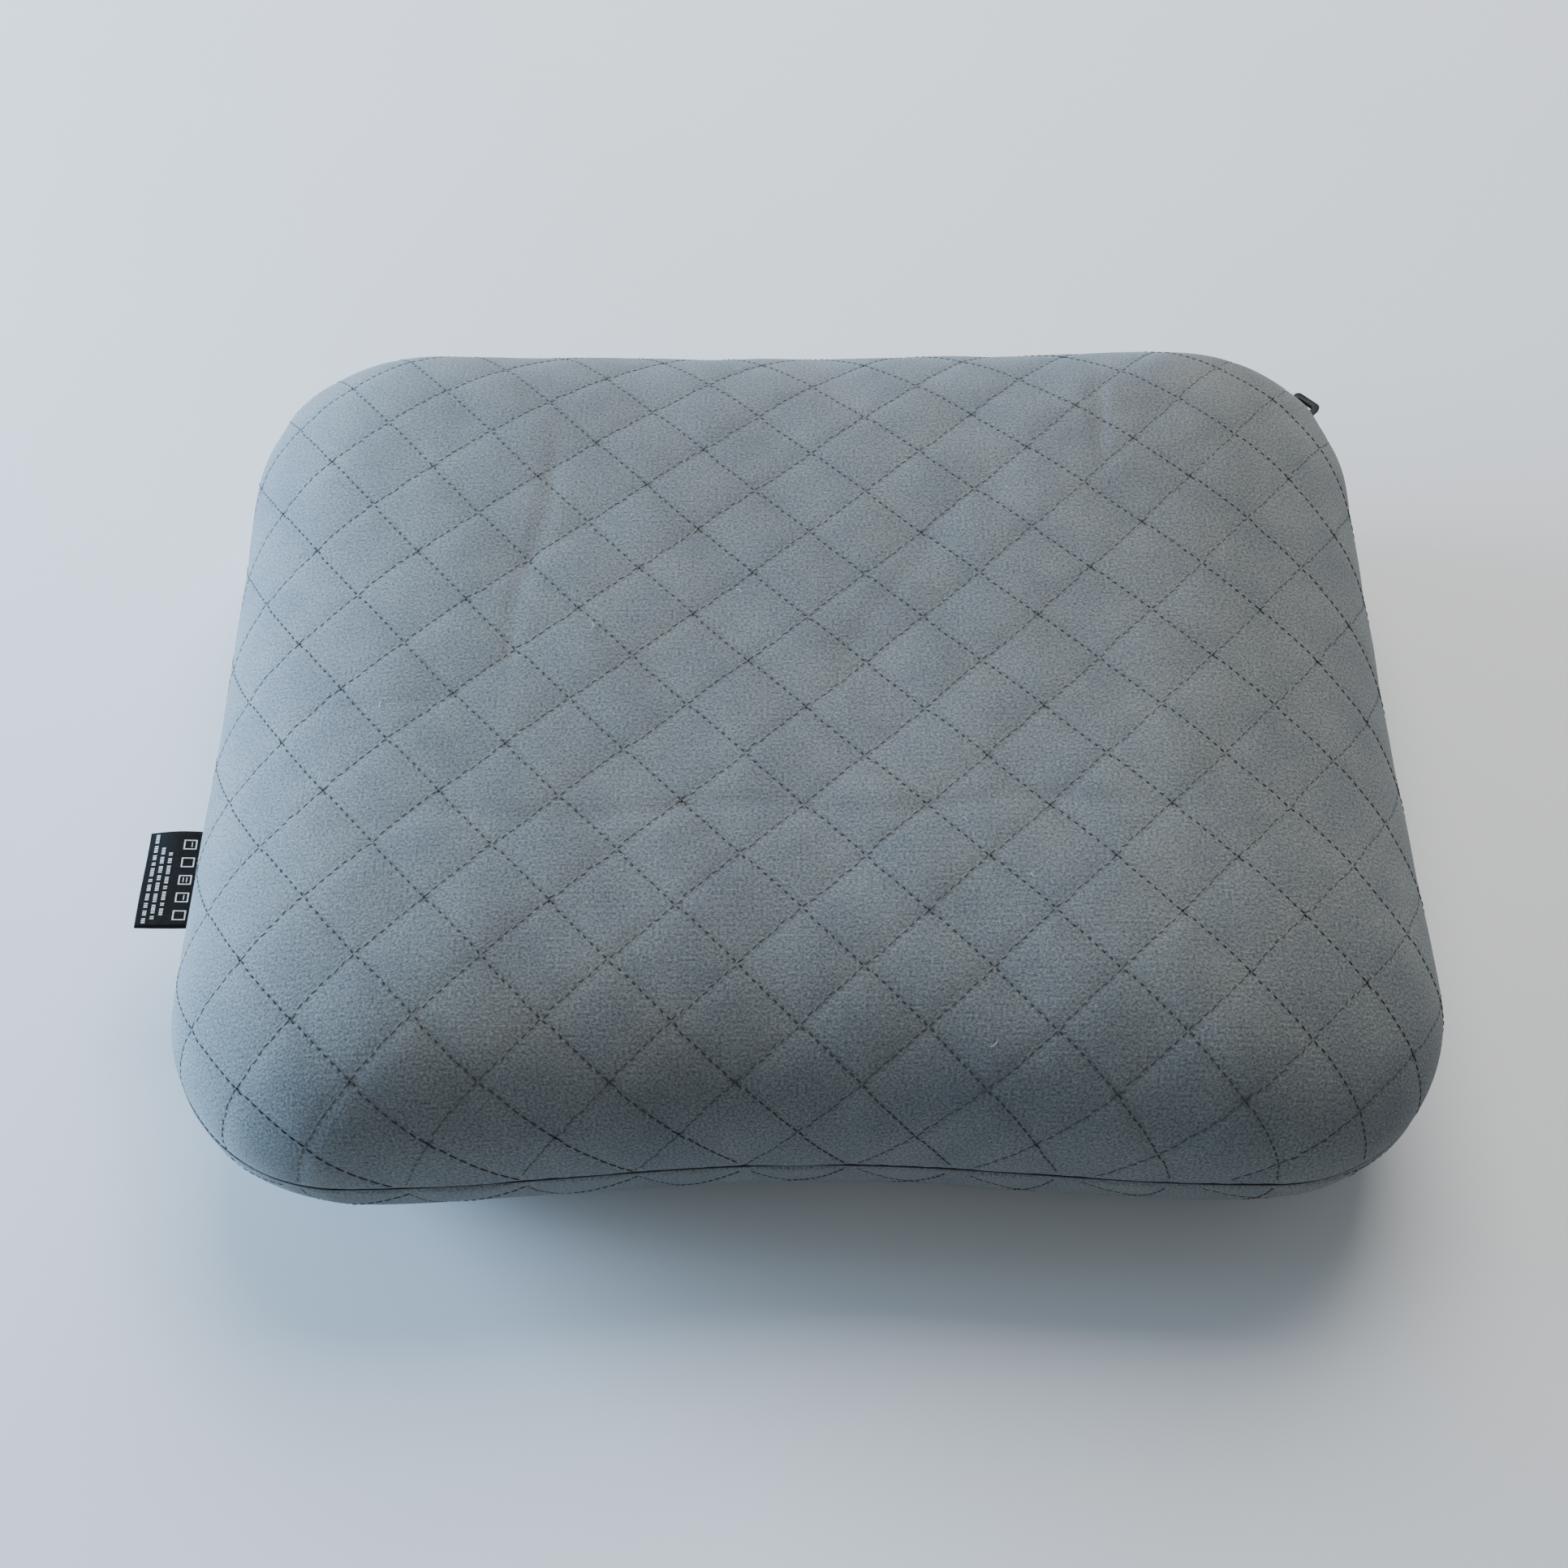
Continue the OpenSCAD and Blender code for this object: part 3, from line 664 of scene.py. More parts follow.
def brushed_knit(name, level):
    """Brushed grey knit: a mottled nap over fine ribs, with a soft sheen."""
    m = Nodes(name, 0.95, Sheen_Weight=0.12, Sheen_Roughness=0.5, Specular_IOR_Level=0.1)
    cloth = m.place("fabric")
    tint = (0.93, 1.0, 1.0)
    nap = m.noise(cloth, 980, 4, 0.66, (1.0, 1.2, 1.0))
    patches = m.noise(cloth, 46, 3, 0.6)
    broad = m.noise(cloth, 11, 2, 0.5)
    fine = m.ramp(nap, [(0.34, times(tint, level * 0.5)), (0.66, times(tint, level * 1.5))])
    mottle = m.ramp(patches, [(0.3, (0.85, 0.86, 0.88)), (0.7, (1.05, 1.04, 1.02))])
    slow = m.ramp(broad, [(0.3, (0.93, 0.93, 0.95)), (0.7, grey(1.03))])
    m.link(m.multiply(m.multiply(fine, mottle), slow), "Base Color")
    ribs = m.wave(cloth, 130, "Y", 1.5)
    coarse = m.bump(nap, 0.35 * mm, 0.7)
    m.link(m.bump(ribs, 0.12 * mm, 0.3, coarse), "Normal")
    return m.material


def sewing_thread(name, level):
    m = Nodes(name, 0.65, Sheen_Weight=0.2)
    twist = m.wave(m.place(), 900, "DIAGONAL", 0.5)
    m.link(m.ramp(twist, [(0.2, grey(level * 0.7)), (0.8, grey(level * 1.2))]), "Base Color")
    return m.material


def satin_ribbon():
    m = Nodes("label_satin", 0.6, Specular_IOR_Level=0.12)
    p = m.place()
    warp = m.wave(p, 700, "Y", 0.2)
    nap = m.noise(p, 900, 2)
    m.link(m.ramp(nap, [(0.3, grey(0.003)), (0.7, grey(0.009))]), "Base Color")
    m.link(m.bump(warp, 0.05 * mm, 0.4), "Normal")
    return m.material


def printed_white():
    m = Nodes("label_print", 0.7)
    m.link(m.ramp(m.noise(m.place(), 800, 2), [(0.3, grey(0.55)), (0.7, grey(0.86))]), "Base Color")
    return m.material


def ribbon_back():
    m = Nodes("label_back", 0.8, Sheen_Weight=0.2)
    weave = m.wave(m.place(), 650, "Y", 0.3)
    m.link(m.ramp(weave, [(0.2, grey(0.6)), (0.8, grey(0.82))]), "Base Color")
    return m.material


def moulded(name, colour, roughness, gloss=0.5):
    """Moulded plastic with a fine spark-eroded grain and faint rubbing."""
    m = Nodes(name, roughness, Specular_IOR_Level=gloss, Coat_Weight=0.3 * gloss, Coat_Roughness=0.2)
    p = m.place()
    speck = m.noise(p, 1680, 3, 0.6)
    rubbed = m.noise(p, 140, 4, 0.6)
    shade = m.ramp(rubbed, [(0.35, times(colour, 0.85)), (0.75, times(colour, 1.3))])
    m.link(shade, "Base Color")
    m.link(m.bump(speck, 0.04 * mm, 0.3), "Normal")
    wear = {"Value": rubbed, "To Min": roughness * 0.8, "To Max": roughness * 1.3}
    m.link(m.add("ShaderNodeMapRange", wear).outputs[0], "Roughness")
    return m.material


def painted_metal():
    m = Nodes("slider_paint", 0.35, Metallic=0.6, Specular_IOR_Level=0.6)
    p = m.place()
    scuff = m.noise(p, 700, 4, 0.65)
    m.link(m.ramp(scuff, [(0.4, grey(0.012)), (0.62, grey(0.03)), (0.78, grey(0.12))]), "Base Color")
    m.link(m.bump(scuff, 0.03 * mm, 0.3), "Normal")
    return m.material


def woven(name, colour, pitch):
    """Plain woven cloth or tape: two crossed sets of threads."""
    m = Nodes(name, 0.85, Sheen_Weight=0.15)
    p = m.place()
    scale = THREADS_SCALE / pitch
    cross = m.math("MULTIPLY", m.wave(p, scale, "DIAGONAL", 0.3), m.wave(p, scale, "Z", 0.3))
    tone = m.noise(p, 60, 3)
    weave = m.ramp(cross, [(0.1, times(colour, 0.7)), (0.9, times(colour, 1.2))])
    m.link(m.multiply(weave, m.ramp(tone, [(0.3, grey(0.9)), (0.7, grey(1.0))])), "Base Color")
    m.link(m.bump(cross, 0.12 * mm, 0.5), "Normal")
    return m.material


def batting():
    m = Nodes("wadding_fibre", 0.95, Sheen_Weight=0.4)
    p = m.place()
    fluff = m.noise(p, 260, 6, 0.7)
    m.link(m.ramp(fluff, [(0.3, (0.68, 0.67, 0.64)), (0.7, (0.88, 0.88, 0.86))]), "Base Color")
    m.link(m.bump(fluff, 0.8 * mm, 0.6), "Normal")
    return m.material


def coated_film():
    m = Nodes("core_film", 0.45, Sheen_Weight=0.1, Coat_Weight=0.2, Coat_Roughness=0.35)
    p = m.place()
    rip = m.math("MAXIMUM", m.wave(p, 32, "X", 0.1), m.wave(p, 32, "Y", 0.1))
    m.link(m.ramp(rip, [(0.6, (0.035, 0.05, 0.065)), (0.98, (0.06, 0.08, 0.1))]), "Base Color")
    m.link(m.bump(m.noise(p, 90, 4), 0.5 * mm, 0.3), "Normal")
    return m.material


def silicone():
    m = Nodes("silicone", 0.5, Subsurface_Weight=0.3, Transmission_Weight=0.1)
    m.link(m.ramp(m.noise(m.place(), 500, 3), [(0.3, grey(0.62)), (0.7, grey(0.74))]), "Base Color")
    return m.material


def floor_card():
    m = Nodes("floor_card", 0.9)
    m.link(m.ramp(m.noise(m.place(), 3, 3), [(0.3, grey(0.86)), (0.7, grey(0.9))]), "Base Color")
    return m.material


KNIT = brushed_knit("face_knit", 0.198)
# Both quilting threads are far darker than the knit: this is partly the thread's own colour and partly
# painted shade of the dips and needle holes along the quilted lines. The dark one also colours the knots
# and the closing seam.
THREAD_DARK_AND_SHADE = sewing_thread("quilting_thread", 0.006)
THREAD_SOFT_AND_SHADE = sewing_thread("quilting_thread_soft", 0.022)
RIBBON = satin_ribbon()
PRINT = printed_white()
RIBBON_BACK = ribbon_back()
PULL_PLASTIC = moulded("pull_plastic", (0.004, 0.005, 0.009), 0.4, gloss=0.15)
VALVE_PLASTIC = moulded("valve_plastic", (0.02, 0.021, 0.023), 0.42)
SLIDER_PAINT = painted_metal()
TAPE = woven("zip_tape_weave", (0.02, 0.02, 0.022), 0.6 * mm)
COIL = moulded("zip_coil_nylon", (0.025, 0.025, 0.027), 0.35)
BINDING = woven("binding_weave", (0.025, 0.026, 0.028), 0.9 * mm)
FILM = coated_film()
SILICONE = silicone()
WADDING = batting()
LINING = woven("lining_weave", (0.12, 0.125, 0.13), 0.5 * mm)


# ---------- cover ----------

TOP = Dome(1)
BOTTOM = Dome(-1)
RING_LOW, RING_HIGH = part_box("opening_ring")
VALVE_HOLE_R = (RING_HIGH.x - RING_LOW.x) / 2 + 0.3 * mm
VALVE_X = sum(c.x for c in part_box("valve_body")) / 2
VALVE_AXIS = Vector((0, math.sin(math.radians(45)), -math.sin(math.radians(45))))
VALVE_AT = Vector((VALVE_X, (RING_LOW.y + RING_HIGH.y) / 2, (RING_LOW.z + RING_HIGH.z) / 2))


def make_cover_top():
    piece = domed_piece("cover_panel_top", TOP, 136, FACE_T, cover_height, 18)
    paint(piece, KNIT)
    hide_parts("cover_top")


def cut_valve_hole(piece, radius):
    bpy.ops.mesh.primitive_cylinder_add(vertices=96, radius=radius, depth=60 * mm, location=VALVE_AT)
    cutter = bpy.context.object
    cutter.rotation_mode = "QUATERNION"
    cutter.rotation_quaternion = VALVE_AXIS.to_track_quat("Z", "Y")
    hole = piece.modifiers.new("valve_hole", "BOOLEAN")
    hole.object = cutter
    hole.operation = "DIFFERENCE"
    hole.solver = "EXACT"
    apply_modifiers(piece)
    bpy.data.objects.remove(cutter)


def apply_modifiers(piece):
    bpy.context.view_layer.update()
    graph = bpy.context.evaluated_depsgraph_get()
    mesh = bpy.data.meshes.new_from_object(piece.evaluated_get(graph), depsgraph=graph)
    piece.modifiers.clear()
    old = piece.data
    piece.data = mesh
    bpy.data.meshes.remove(old)


def make_cover_bottom():
    piece = domed_piece("cover_panel_bottom", BOTTOM, 112, FACE_T, cover_height, 26)
    paint(piece, KNIT)
    cut_valve_hole(piece, VALVE_HOLE_R)
    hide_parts("cover_bottom")


def inner_limit(dome, angle):
    """The ring where an inner layer is trimmed: close to the seam, but well clear of the zip."""
    trimmed = LAYER_TRIM + (TAPE_TRIM - LAYER_TRIM) * dome.outline.zip_share(angle)
    cut = dome.cut(angle)
    return (1 - ((trimmed - cut) / (dome.span - cut)) ** 2) ** (1 / dome.power)


def inner_height(dome, _angle, _s, x, y):
    """The quilting draws the wadding in along its lines. The lining stays smooth."""
    return np.minimum(LAYER_DRAW * quilt_relief(x, y, dome.side), 0) * (dome.off < LINING_OFF)


def make_inner_layer(node, dome, thick, material):
    piece = domed_piece(
        "quilt_" + node, dome, LAYER_GRID, thick, inner_height, LAYER_RINGS, trim=inner_limit
    )
    paint(piece, material)
    if dome.side < 0:
        cut_valve_hole(piece, VALVE_HOLE_R + LAYER_HOLE_CLEAR)
    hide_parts(node)
    return piece


def make_inner_layers():
    for side, word in ((1, "top"), (-1, "bottom")):
        dome = Dome(side, WADDING_OFF)
        wadding = make_inner_layer("wadding_" + word, dome, WADDING_T, WADDING)
        dome = Dome(side, LINING_OFF)
        lining = make_inner_layer("lining_" + word, dome, LINING_T, LINING)


def stitch_lines(name, dome, along_j, dash, radius, sink, lift, waver, material):
    """All stitches of one family of quilting lines, each a short thread that dips at both ends.

    dash is the share of a stitch's step that shows. It dips by sink, rises by lift and strays by waver.
    """
    whole = np.arange(-LINES_EACH_WAY, LINES_EACH_WAY + 1)
    steps = np.arange(-LINES_EACH_WAY, LINES_EACH_WAY, 1 / STITCHES_PER_SIDE)
    line, start = np.meshgrid(whole, steps, indexing="ij")
    line, start = line.ravel().astype(float), start.ravel()
    share = STITCH_POINTS
    middle = start + 0.5 / STITCHES_PER_SIDE
    i, j = (line, middle) if along_j else (middle, line)
    _, _, inside = dome.from_fabric(*quilt_to_fabric(i, j, dome.side))
    # Towards the rim the panel is stretched and the gaps between the stitches close
    closing = np.clip(1 - inside / RIM_CLOSING, 0, 1)[:, None]
    reach = dash + (STITCH_OVERLAP - dash) * closing
    run = start[:, None] + (0.5 + (share - 0.5)[None] * reach) / STITCHES_PER_SIDE
    run = run + rng.normal(0, STITCH_SPREAD, (len(line), 1)) / STITCHES_PER_SIDE
    side_step = rng.normal(0, waver, (len(line), 1)) / LINE_GAP
    lean = rng.normal(0, waver, (len(line), 1)) / LINE_GAP * (share - 0.5)[None] * 2
    # Neighbouring rows of stitching miss each other a little where they meet
    jog = ROW_JOG * (np.floor(start)[:, None] % 2 - 0.5) / LINE_GAP
    across = line[:, None] + side_step + lean + jog
    i, j = (across, run) if along_j else (run, across)
    x, y = quilt_to_fabric(i, j, dome.side)
    heights = np.array([-sink, lift * 0.7, lift, lift * 0.7, -sink])[None] + 0 * x
    p, _, inside = on_cover(dome, x, y, heights)
    keep = (inside.min(1) > RIM_CLEAR) & (np.hypot(x, y).max(1) < PANEL_REACH)
    if dome.side < 0:
        keep &= p[..., 2].min(1) > FLOOR_CLEAR
        to_valve = p.mean(1) - np.array(VALVE_AT)
        along = to_valve @ np.array(VALVE_AXIS)
        off_axis = np.linalg.norm(to_valve - along[:, None] * np.array(VALVE_AXIS), axis=1)
        keep &= off_axis > VALVE_HOLE_R + HOLE_CLEAR
    piece = tube_piece(name, p[keep], radius * STITCH_TAPER, STITCH_SIDES, material)


def make_quilting():
    # The stitches' near-black colour also paints the shade in the dips between them.
    for side, dome in (("top", TOP), ("bottom", BOTTOM)):
        stitch_lines(
            "quilting_back_" + side, dome, along_j=True, dash=0.6, radius=0.27 * mm,
            sink=0.25 * mm, lift=0.16 * mm, waver=0.05 * mm, material=THREAD_DARK_AND_SHADE,
        )
        stitch_lines(
            "quilting_forward_" + side, dome, along_j=False, dash=0.82, radius=0.165 * mm,
            sink=0.15 * mm, lift=0.1 * mm, waver=0.17 * mm, material=THREAD_SOFT_AND_SHADE,
        )


def make_knots():
    """Where two rows of quilting meet, some stitches pile up into a dark knot."""
    i, j = (v.ravel().astype(float) for v in np.meshgrid(np.arange(-12, 13), np.arange(-12, 13)))
    chosen = rng.random(len(i)) < 0.4
    i, j = i[chosen], j[chosen]
    half = rng.uniform(0.014, 0.026, len(i))[:, None]
    share = np.array([-1, -0.45, 0.45, 1.0])[None]
    x, y = quilt_to_fabric(i[:, None] + 0 * share, j[:, None] + half * share, 1)
    lift = np.array([-0.2, 0.18, 0.18, -0.2])[None] * mm + 0 * x
    p, _, inside = on_cover(TOP, x, y, lift)
    keep = (inside.min(1) > 4 * mm) & (np.hypot(x, y).max(1) < PANEL_REACH)
    radii = 0.42 * mm * np.array([0.6, 1, 1, 0.6])
    # The knots use the near-black thread colour, which is partly painted shade.
    piece = tube_piece("quilting_knots", p[keep], radii, 6, THREAD_DARK_AND_SHADE)


def make_seam_thread_and_shadow():
    """The closing seam: a near-black thread down in the joint between the panels where there is no zip.
    It also paints the shadow of the gap between them.
    """
    outline = Outline(0.55 * mm)
    look = np.linspace(0, math.pi, 2000)
    zipped = look[TOP.outline.zip_share(look) > 0.01]
    angle = np.linspace(zipped.max() - 2 * math.pi, zipped.min(), 1500)
    r = outline.reach(angle)
    path = np.stack([r * np.cos(angle), r * np.sin(angle), 0 * r + SEAM_Z + 0.25 * mm], -1)
    piece = tube_piece("seam_thread", path[None], 0.42 * mm, 6, THREAD_DARK_AND_SHADE)


def make_lint():
    """A few pale fibres caught on the nap."""
    count = 16
    x = rng.uniform(-0.2, 0.2, count)
    y = rng.uniform(-0.17, 0.17, count)
    heading = rng.uniform(0, 2 * math.pi, count)
    length = rng.uniform(1.5, 4.5, count) * mm
    bend = rng.uniform(-1.4, 1.4, count)
    t = np.linspace(-0.5, 0.5, 6)
    a = heading[:, None] + bend[:, None] * t
    px = x[:, None] + length[:, None] * t * np.cos(a)
    py = y[:, None] + length[:, None] * t * np.sin(a)
    p, _, _ = on_cover(TOP, px, py, 0.2 * mm + 0 * px)
    radii = 0.085 * mm * np.array([0.5, 1, 1, 1, 1, 0.5])
    piece = tube_piece("lint_fibres", p, radii, 5, RIBBON_BACK)


# ---------- label ----------

LABEL_LOW, LABEL_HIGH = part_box("care_label")


def label_section(y_share):
    """The folded ribbon's centre line at a place along the seam: top leaf, fold, bottom leaf."""
    root = LABEL_HIGH.x + 1.5 * mm
    tip = LABEL_LOW.x + 0.6 * mm
    spread = 0.45 * mm + LABEL_OPEN * max(0.0, y_share - 0.55) ** 1.4
    curl = 0.5 * mm * math.sin(y_share * 5 + 0.5)
    points = []
    for q in np.linspace(0, 1, LEAF_POINTS):
        swell = spread * math.sin(math.pi * min(1, q * 1.02)) * 0.9 + FOLD_R
        points.append((root + (tip - root) * q, SEAM_Z + swell + curl * q * q))
    for a in np.radians(np.linspace(80, -80, FOLD_POINTS)):
        points.append((tip - FOLD_R * math.cos(a), SEAM_Z + curl + FOLD_R * math.sin(a)))
    for q in np.linspace(1, 0, LEAF_POINTS):
        swell = spread * math.sin(math.pi * min(1, q * 1.02)) * 0.5 + FOLD_R
        points.append((root + (tip - root) * q, SEAM_Z - swell + curl * q * q))
    return points


def make_label():
    """Black satin outside, pale inside, open a little at its rear end."""
    rows = 29
    shares = np.linspace(0, 1, rows)
    ys = LABEL_LOW.y + (LABEL_HIGH.y - LABEL_LOW.y) * shares
    outer = np.array([[(x, y, z) for x, z in label_section(q)] for q, y in zip(shares, ys)])
    side = np.gradient(outer, axis=1)
    normal = np.stack([-side[..., 2], 0 * side[..., 1], side[..., 0]], -1)
    normal /= np.linalg.norm(normal, axis=-1, keepdims=True)
    inner = outer + normal * RIBBON_T
    m, n = outer.shape[:2]
    index = np.arange(m * n).reshape(m, n)
    shift = m * n
    faces, slots = [], []
    for quad in grid_faces(index):
        faces += [quad, [v + shift for v in quad[::-1]]]
        slots += [0, 1]
    border = edge_faces(index, shift)
    faces += border
    slots += [0] * len(border)
    verts = np.concatenate([outer.reshape(-1, 3), inner.reshape(-1, 3)])
    piece = new_piece("care_label_ribbon", verts, faces)
    piece.data.polygons.foreach_set("material_index", slots)
    face_outwards(piece)
    paint(piece, RIBBON, RIBBON_BACK)
    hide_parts("care_label")
    return outer


def make_label_print(outer):
    """Generic marks in place of the label's words and symbols: short bars and plain outlines."""
    verts, faces = [], []
    rows = outer.shape[0]

    def on_leaf(out, along):
        """A point just over the top leaf: out from the seam and along the ribbon, 0 to 1."""
        a = along * (rows - 1)
        k = out * (LEAF_POINTS - 1)
        a0, k0 = min(int(a), rows - 2), min(int(k), LEAF_POINTS - 2)
        low = outer[a0, k0] * (1 - k + k0) + outer[a0, k0 + 1] * (k - k0)
        high = outer[a0 + 1, k0] * (1 - k + k0) + outer[a0 + 1, k0 + 1] * (k - k0)
        p = low * (1 - a + a0) + high * (a - a0)
        return (p[0], p[1], p[2] + 0.05 * mm)

    def patch(out0, out1, along0, along1):
        """A thin printed rectangle that follows the leaf."""
        first = len(verts)
        steps = 4
        for layer in (0.0, 0.06 * mm):
            for q in np.linspace(0, 1, steps):
                for out in (out0, out1):
                    x, y, z = on_leaf(out, along0 + (along1 - along0) * q)
                    verts.append((x, y, z + layer))
        per = 2 * steps
        for s in range(steps - 1):
            a = first + 2 * s
            faces.append([a, a + 1, a + 3, a + 2])
            faces.append([a + per, a + per + 2, a + per + 3, a + per + 1])
            faces.append([a, a + 2, a + per + 2, a + per])
            faces.append([a + 1, a + per + 1, a + per + 3, a + 3])
        for a in (first, first + 2 * (steps - 1)):
            faces.append([a, a + per, a + per + 1, a + 1])

    # Three lines of bars, in groups
    for line, out in enumerate((0.88, 0.75, 0.62)):
        at = 0.04 + 0.04 * line
        while at < 0.92 - 0.06 * line:
            for _ in range(int(rng.integers(2, 6))):
                patch(out - 0.03, out + 0.03, at, at + 0.011)
                at += 0.019
            at += 0.022
    # Five outlines, with up to two bars in each
    half_along, low, high, line = 0.05, 0.22, 0.43, 0.014
    for mark in range(5):
        mid = 0.12 + 0.185 * mark
        patch(low, low + line * 1.6, mid - half_along, mid + half_along)
        patch(high - line * 1.6, high, mid - half_along, mid + half_along)
        for end in (mid - half_along, mid + half_along - line * 0.7):
            patch(low, high, end, end + line * 0.7)
        for bar in range(mark % 3):
            patch(0.29 + 0.055 * bar, 0.305 + 0.055 * bar, mid - 0.025, mid + 0.025)
    piece = new_piece("care_label_marks", verts, faces, smooth=False)
    face_outwards(piece)
    paint(piece, PRINT)


# ---------- zip ----------


def zip_path(off, start, count):
    """Points along the zip, evenly spaced: round the rear right corner to the rear left one."""
    r = CORNER_R - off
    a = np.radians(np.linspace(start, 90, 120))
    right = np.stack([CORNER_X + r * np.cos(a), CORNER_Y + r * np.sin(a)], 1)
    t = np.linspace(1, -1, 300)[1:-1]
    rear = np.stack([CORNER_X * t, HALF_D - off - REAR_SCOOP * bow(t)], 1)
    left = right[::-1] * [-1, 1]
    points = np.concatenate([right, rear, left])
    length = np.concatenate([[0], np.cumsum(np.linalg.norm(np.diff(points, axis=0), axis=1))])
    at = np.linspace(0, length[-1], count)
    return np.stack([np.interp(at, length, points[:, k]) for k in (0, 1)], 1), length[-1]


def make_zip_teeth():
    """Coil turns, alternately from the upper and the lower tape."""
    _, total = zip_path(TEETH_OFF, ZIP_START + TEETH_LATER, 3)
    path, _ = zip_path(TEETH_OFF, ZIP_START + TEETH_LATER, 2 * int(total / TOOTH_PITCH))
    out = outwards(path)
    rise = np.array([2.2, 1.5, 0.7, 0.0, -0.35]) * mm
    bulge = np.array([-0.35, 0.25, 0.35, 0.2, -0.3]) * mm
    for side, first, node in ((1, 0, "zip_coil_upper"), (-1, 1, "zip_coil_lower")):
        foot, away = path[first::2], out[first::2]
        tubes = np.zeros((len(foot), 5, 3))
        tubes[..., :2] = foot[:, None] + away[:, None] * bulge[None, :, None]
        tubes[..., 2] = SEAM_Z + side * rise[None]
        radii = TOOTH_R * np.array([0.8, 1, 1, 1, 0.8])
        piece = tube_piece(node.replace("coil", "teeth"), tubes, radii, 8, COIL)
        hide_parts(node)


def make_zip_tape(side, node):
    """A woven tape with a raised rib beside the teeth."""
    low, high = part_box(node)
    wide = high.z - low.z
    near = low.z if side > 0 else high.z
    count, across = 420, 9
    mid, _ = zip_path(TAPE_OFF, ZIP_START - TAPE_EARLIER, count)
    out = outwards(mid)
    q = np.linspace(0, 1, across)
    rib = 0.12 * mm * np.exp(-(((q - 0.22) / 0.08) ** 2))
    verts = []
    for sign in (1, -1):
        for k in range(count):
            weave = 0.05 * mm * math.sin(k * 1.9)
            for b in range(across):
                r = sign * TAPE_HALF_T + (rib[b] + weave if sign > 0 else 0)
                verts.append((*(mid[k] + out[k] * r), near + side * wide * q[b]))
    shift = count * across
    index = np.arange(2 * shift).reshape(2, count, across)
    faces = grid_faces(index[0]) + grid_faces(index[1]) + edge_faces(index[0], shift)
    piece = new_piece(node + "_weave", verts, faces)
    face_outwards(piece)
    paint(piece, TAPE)
    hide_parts(node)


def rounded_copy(node, name, body, material, slot):
    """A hard part as its CAD solid with its edges rounded off."""
    source = frame["nodes"][node]
    bm = bmesh.new()
    bm.from_mesh(source.data)
    bmesh.ops.remove_doubles(bm, verts=bm.verts, dist=0.01 * mm)
    bmesh.ops.dissolve_limit(bm, angle_limit=math.radians(2), verts=bm.verts, edges=bm.edges)
    mesh = bpy.data.meshes.new(name)
    bm.to_mesh(mesh)
    bm.free()
    piece = bpy.data.objects.new(name, mesh)
    bpy.context.scene.collection.objects.link(piece)
    soften = piece.modifiers.new("soften", "BEVEL")
    soften.width = EDGE_ROUND
    soften.segments = 3
    soften.limit_method = "ANGLE"
    soften.angle_limit = math.radians(30)
    apply_modifiers(piece)
    mesh = piece.data
    mesh.polygons.foreach_set("use_smooth", [True] * len(mesh.polygons))
    mesh.set_sharp_from_angle(angle=math.radians(50))
    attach(piece, body)
    paint(piece, material)
    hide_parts(node)


# CAD node, piece, body, material, slot
HARD_PARTS = [
    ("slider", "zip_slider_shell", "zip_slider", SLIDER_PAINT, "slider_metal"),
    ("pull_link", "pull_wire_link", "link", SLIDER_PAINT, "slider_metal"),
    ("pull_ring", "moulded_pull", "pull", PULL_PLASTIC, "pull_plastic"),
    ("valve_body", "valve_collar", "pillow", VALVE_PLASTIC, "valve_plastic"),
    ("opening_ring", "opening_binding", "pillow", BINDING, "binding"),
    ("deflate_cap", "large_valve_cap", "large_cap", VALVE_PLASTIC, "valve_plastic"),
    ("inflate_cap", "small_valve_cap", "small_cap", VALVE_PLASTIC, "valve_plastic"),
]

# CAD nodes that stay as they are, with a material
INNER_PARTS = [
    ("seam_binding", BINDING), ("zip_closed_stop", SLIDER_PAINT),
    ("zip_open_stop", SLIDER_PAINT), ("air_core_top", FILM), ("air_core_bottom", FILM),
    ("baffle_front", FILM), ("baffle_middle", FILM), ("baffle_rear", FILM), ("valve_flap", SILICONE),
]


# ---------- studio ----------


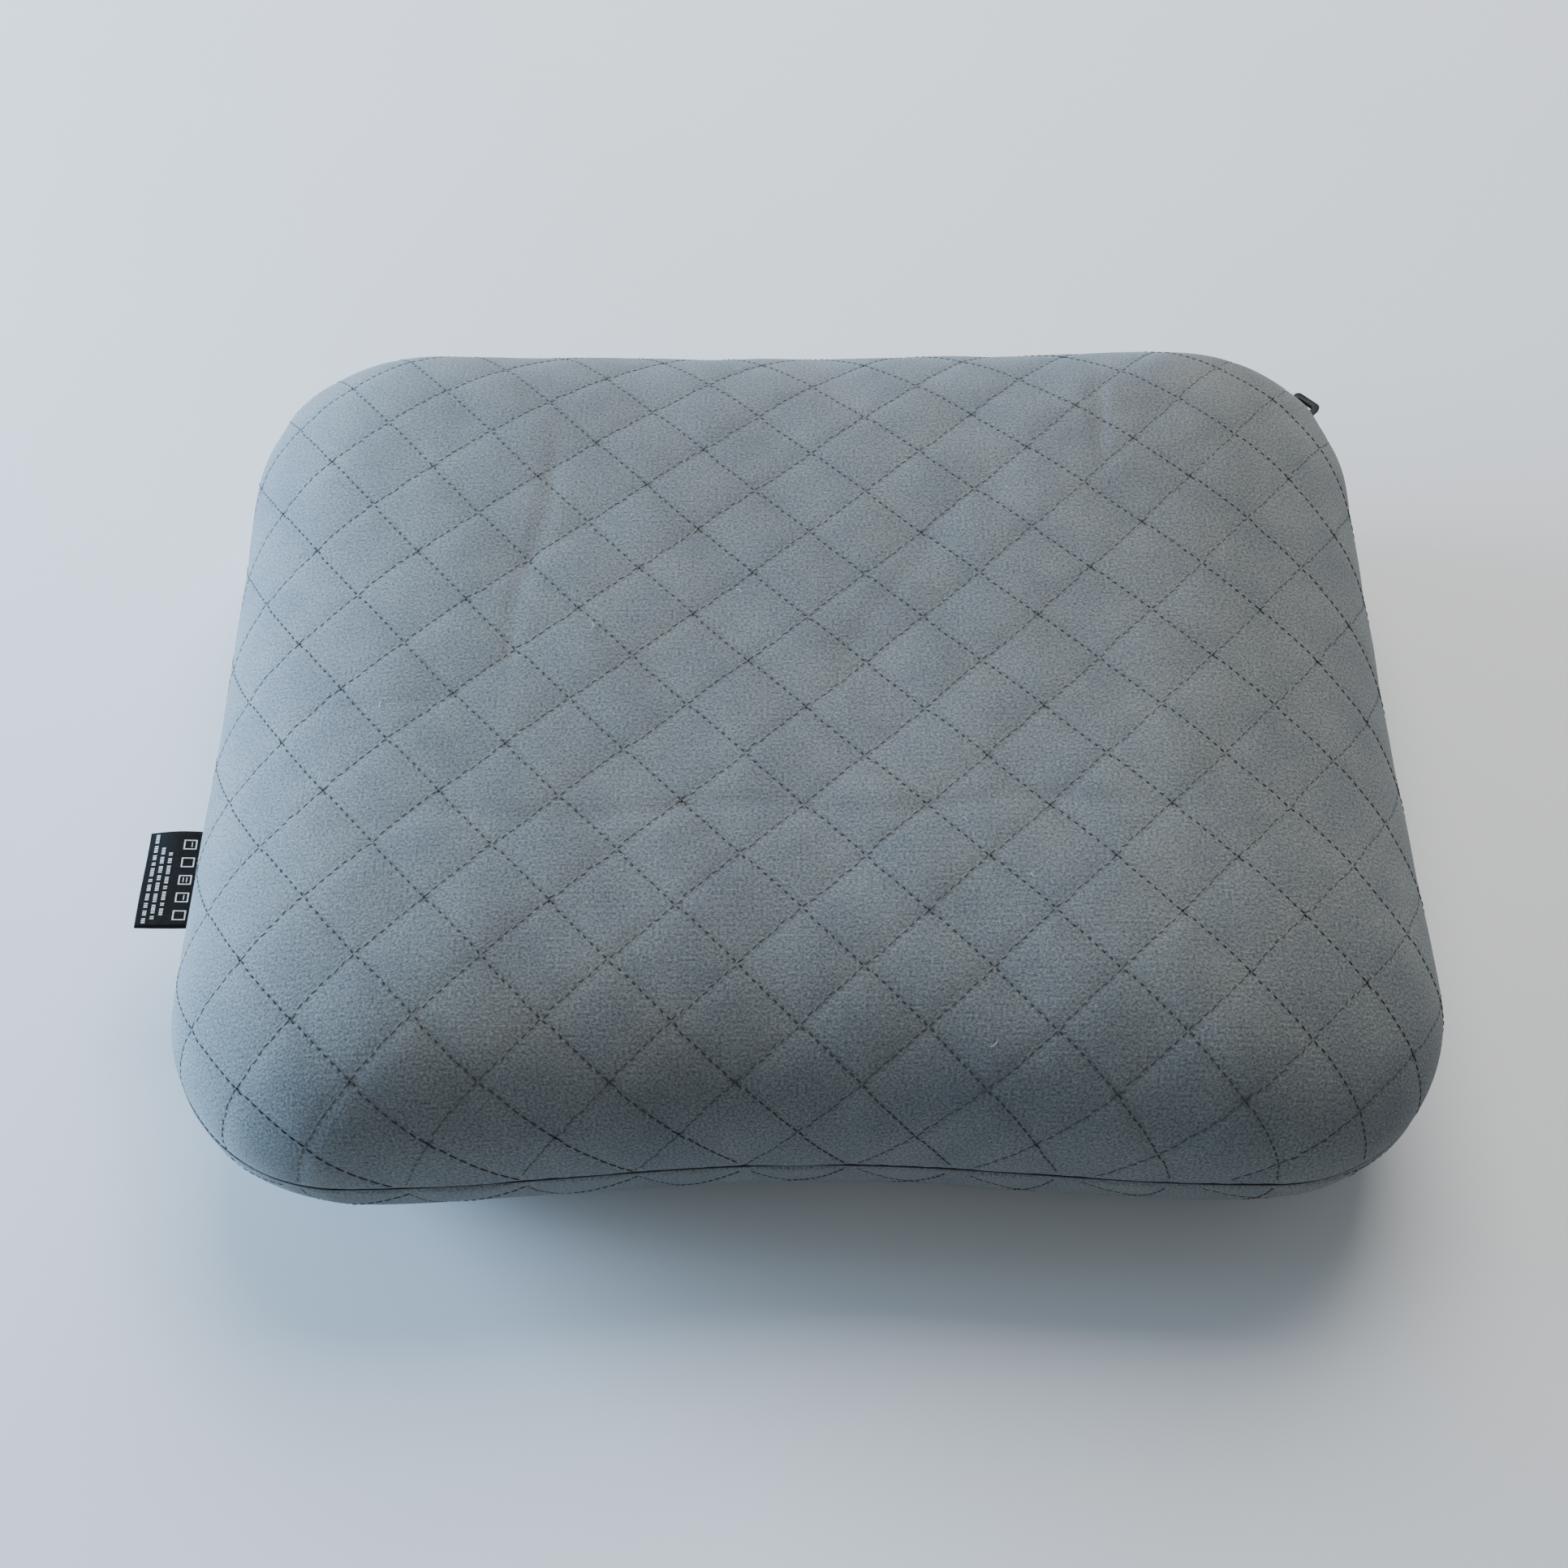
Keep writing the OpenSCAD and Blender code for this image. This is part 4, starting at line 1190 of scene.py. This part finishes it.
def make_camera():
    """Looks down on the pillow from the front, at the angle of the reference view."""
    aim = Vector((-7.5 * mm, -15.3 * mm, 50 * mm))
    rise, yaw, roll = math.radians(57.72), math.radians(0.31), math.radians(-0.6)
    distance = 0.8008
    back = Vector((math.sin(yaw) * math.cos(rise), -math.cos(yaw) * math.cos(rise), math.sin(rise)))
    data = bpy.data.cameras.new("camera")
    data.sensor_width = 36
    data.lens = 48.45
    camera = bpy.data.objects.new("camera", data)
    bpy.context.scene.collection.objects.link(camera)
    turn = (-back).to_track_quat("-Z", "Y").to_matrix().to_4x4()
    camera.matrix_world = Matrix.Translation(aim + back * distance) @ turn @ Matrix.Rotation(roll, 4, "Z")
    bpy.context.scene.camera = camera


def area_light(name, place, size, power, colour):
    """A rectangular light that faces the middle of the pillow."""
    data = bpy.data.lights.new(name, "AREA")
    data.shape = "RECTANGLE"
    data.size, data.size_y = size
    data.energy = power
    data.color = colour
    light = bpy.data.objects.new(name, data)
    light.location = place
    light.rotation_mode = "QUATERNION"
    light.rotation_quaternion = (Vector((0, 0, 0.06)) - Vector(place)).to_track_quat("-Z", "Y")
    bpy.context.scene.collection.objects.link(light)


def make_studio():
    world = bpy.data.worlds.new("studio")
    world.use_nodes = True
    background = world.node_tree.nodes["Background"]
    background.inputs["Color"].default_value = (0.84, 0.93, 1.0, 1)
    background.inputs["Strength"].default_value = 0.27
    bpy.context.scene.world = world
    area_light("key_left", (-1.8, 0.35, 0.27), (1.0, 0.6), 158, (0.42, 0.68, 1.0))
    area_light("top_rear", (0.15, 1.2, 1.6), (1.6, 1.2), 42, (1.0, 0.99, 0.98))
    half = 6.0
    verts = [(-half, -half, 0), (half, -half, 0), (half, half, 0), (-half, half, 0)]
    mesh = bpy.data.meshes.new("floor")
    mesh.from_pydata(verts, [], [(0, 1, 2, 3)])
    floor = bpy.data.objects.new("floor", mesh)
    floor.location.z = -0.05 * mm
    bpy.context.scene.collection.objects.link(floor)
    paint(floor, floor_card())


make_camera()
make_studio()
make_cover_top()
make_cover_bottom()
make_inner_layers()
make_quilting()
make_knots()
make_seam_thread_and_shadow()
make_lint()
make_label_print(make_label())
make_zip_teeth()
make_zip_tape(1, "zip_tape_upper")
make_zip_tape(-1, "zip_tape_lower")
for part in HARD_PARTS:
    rounded_copy(*part)
for node_name, inner_material in INNER_PARTS:
    paint(frame["nodes"][node_name], inner_material)
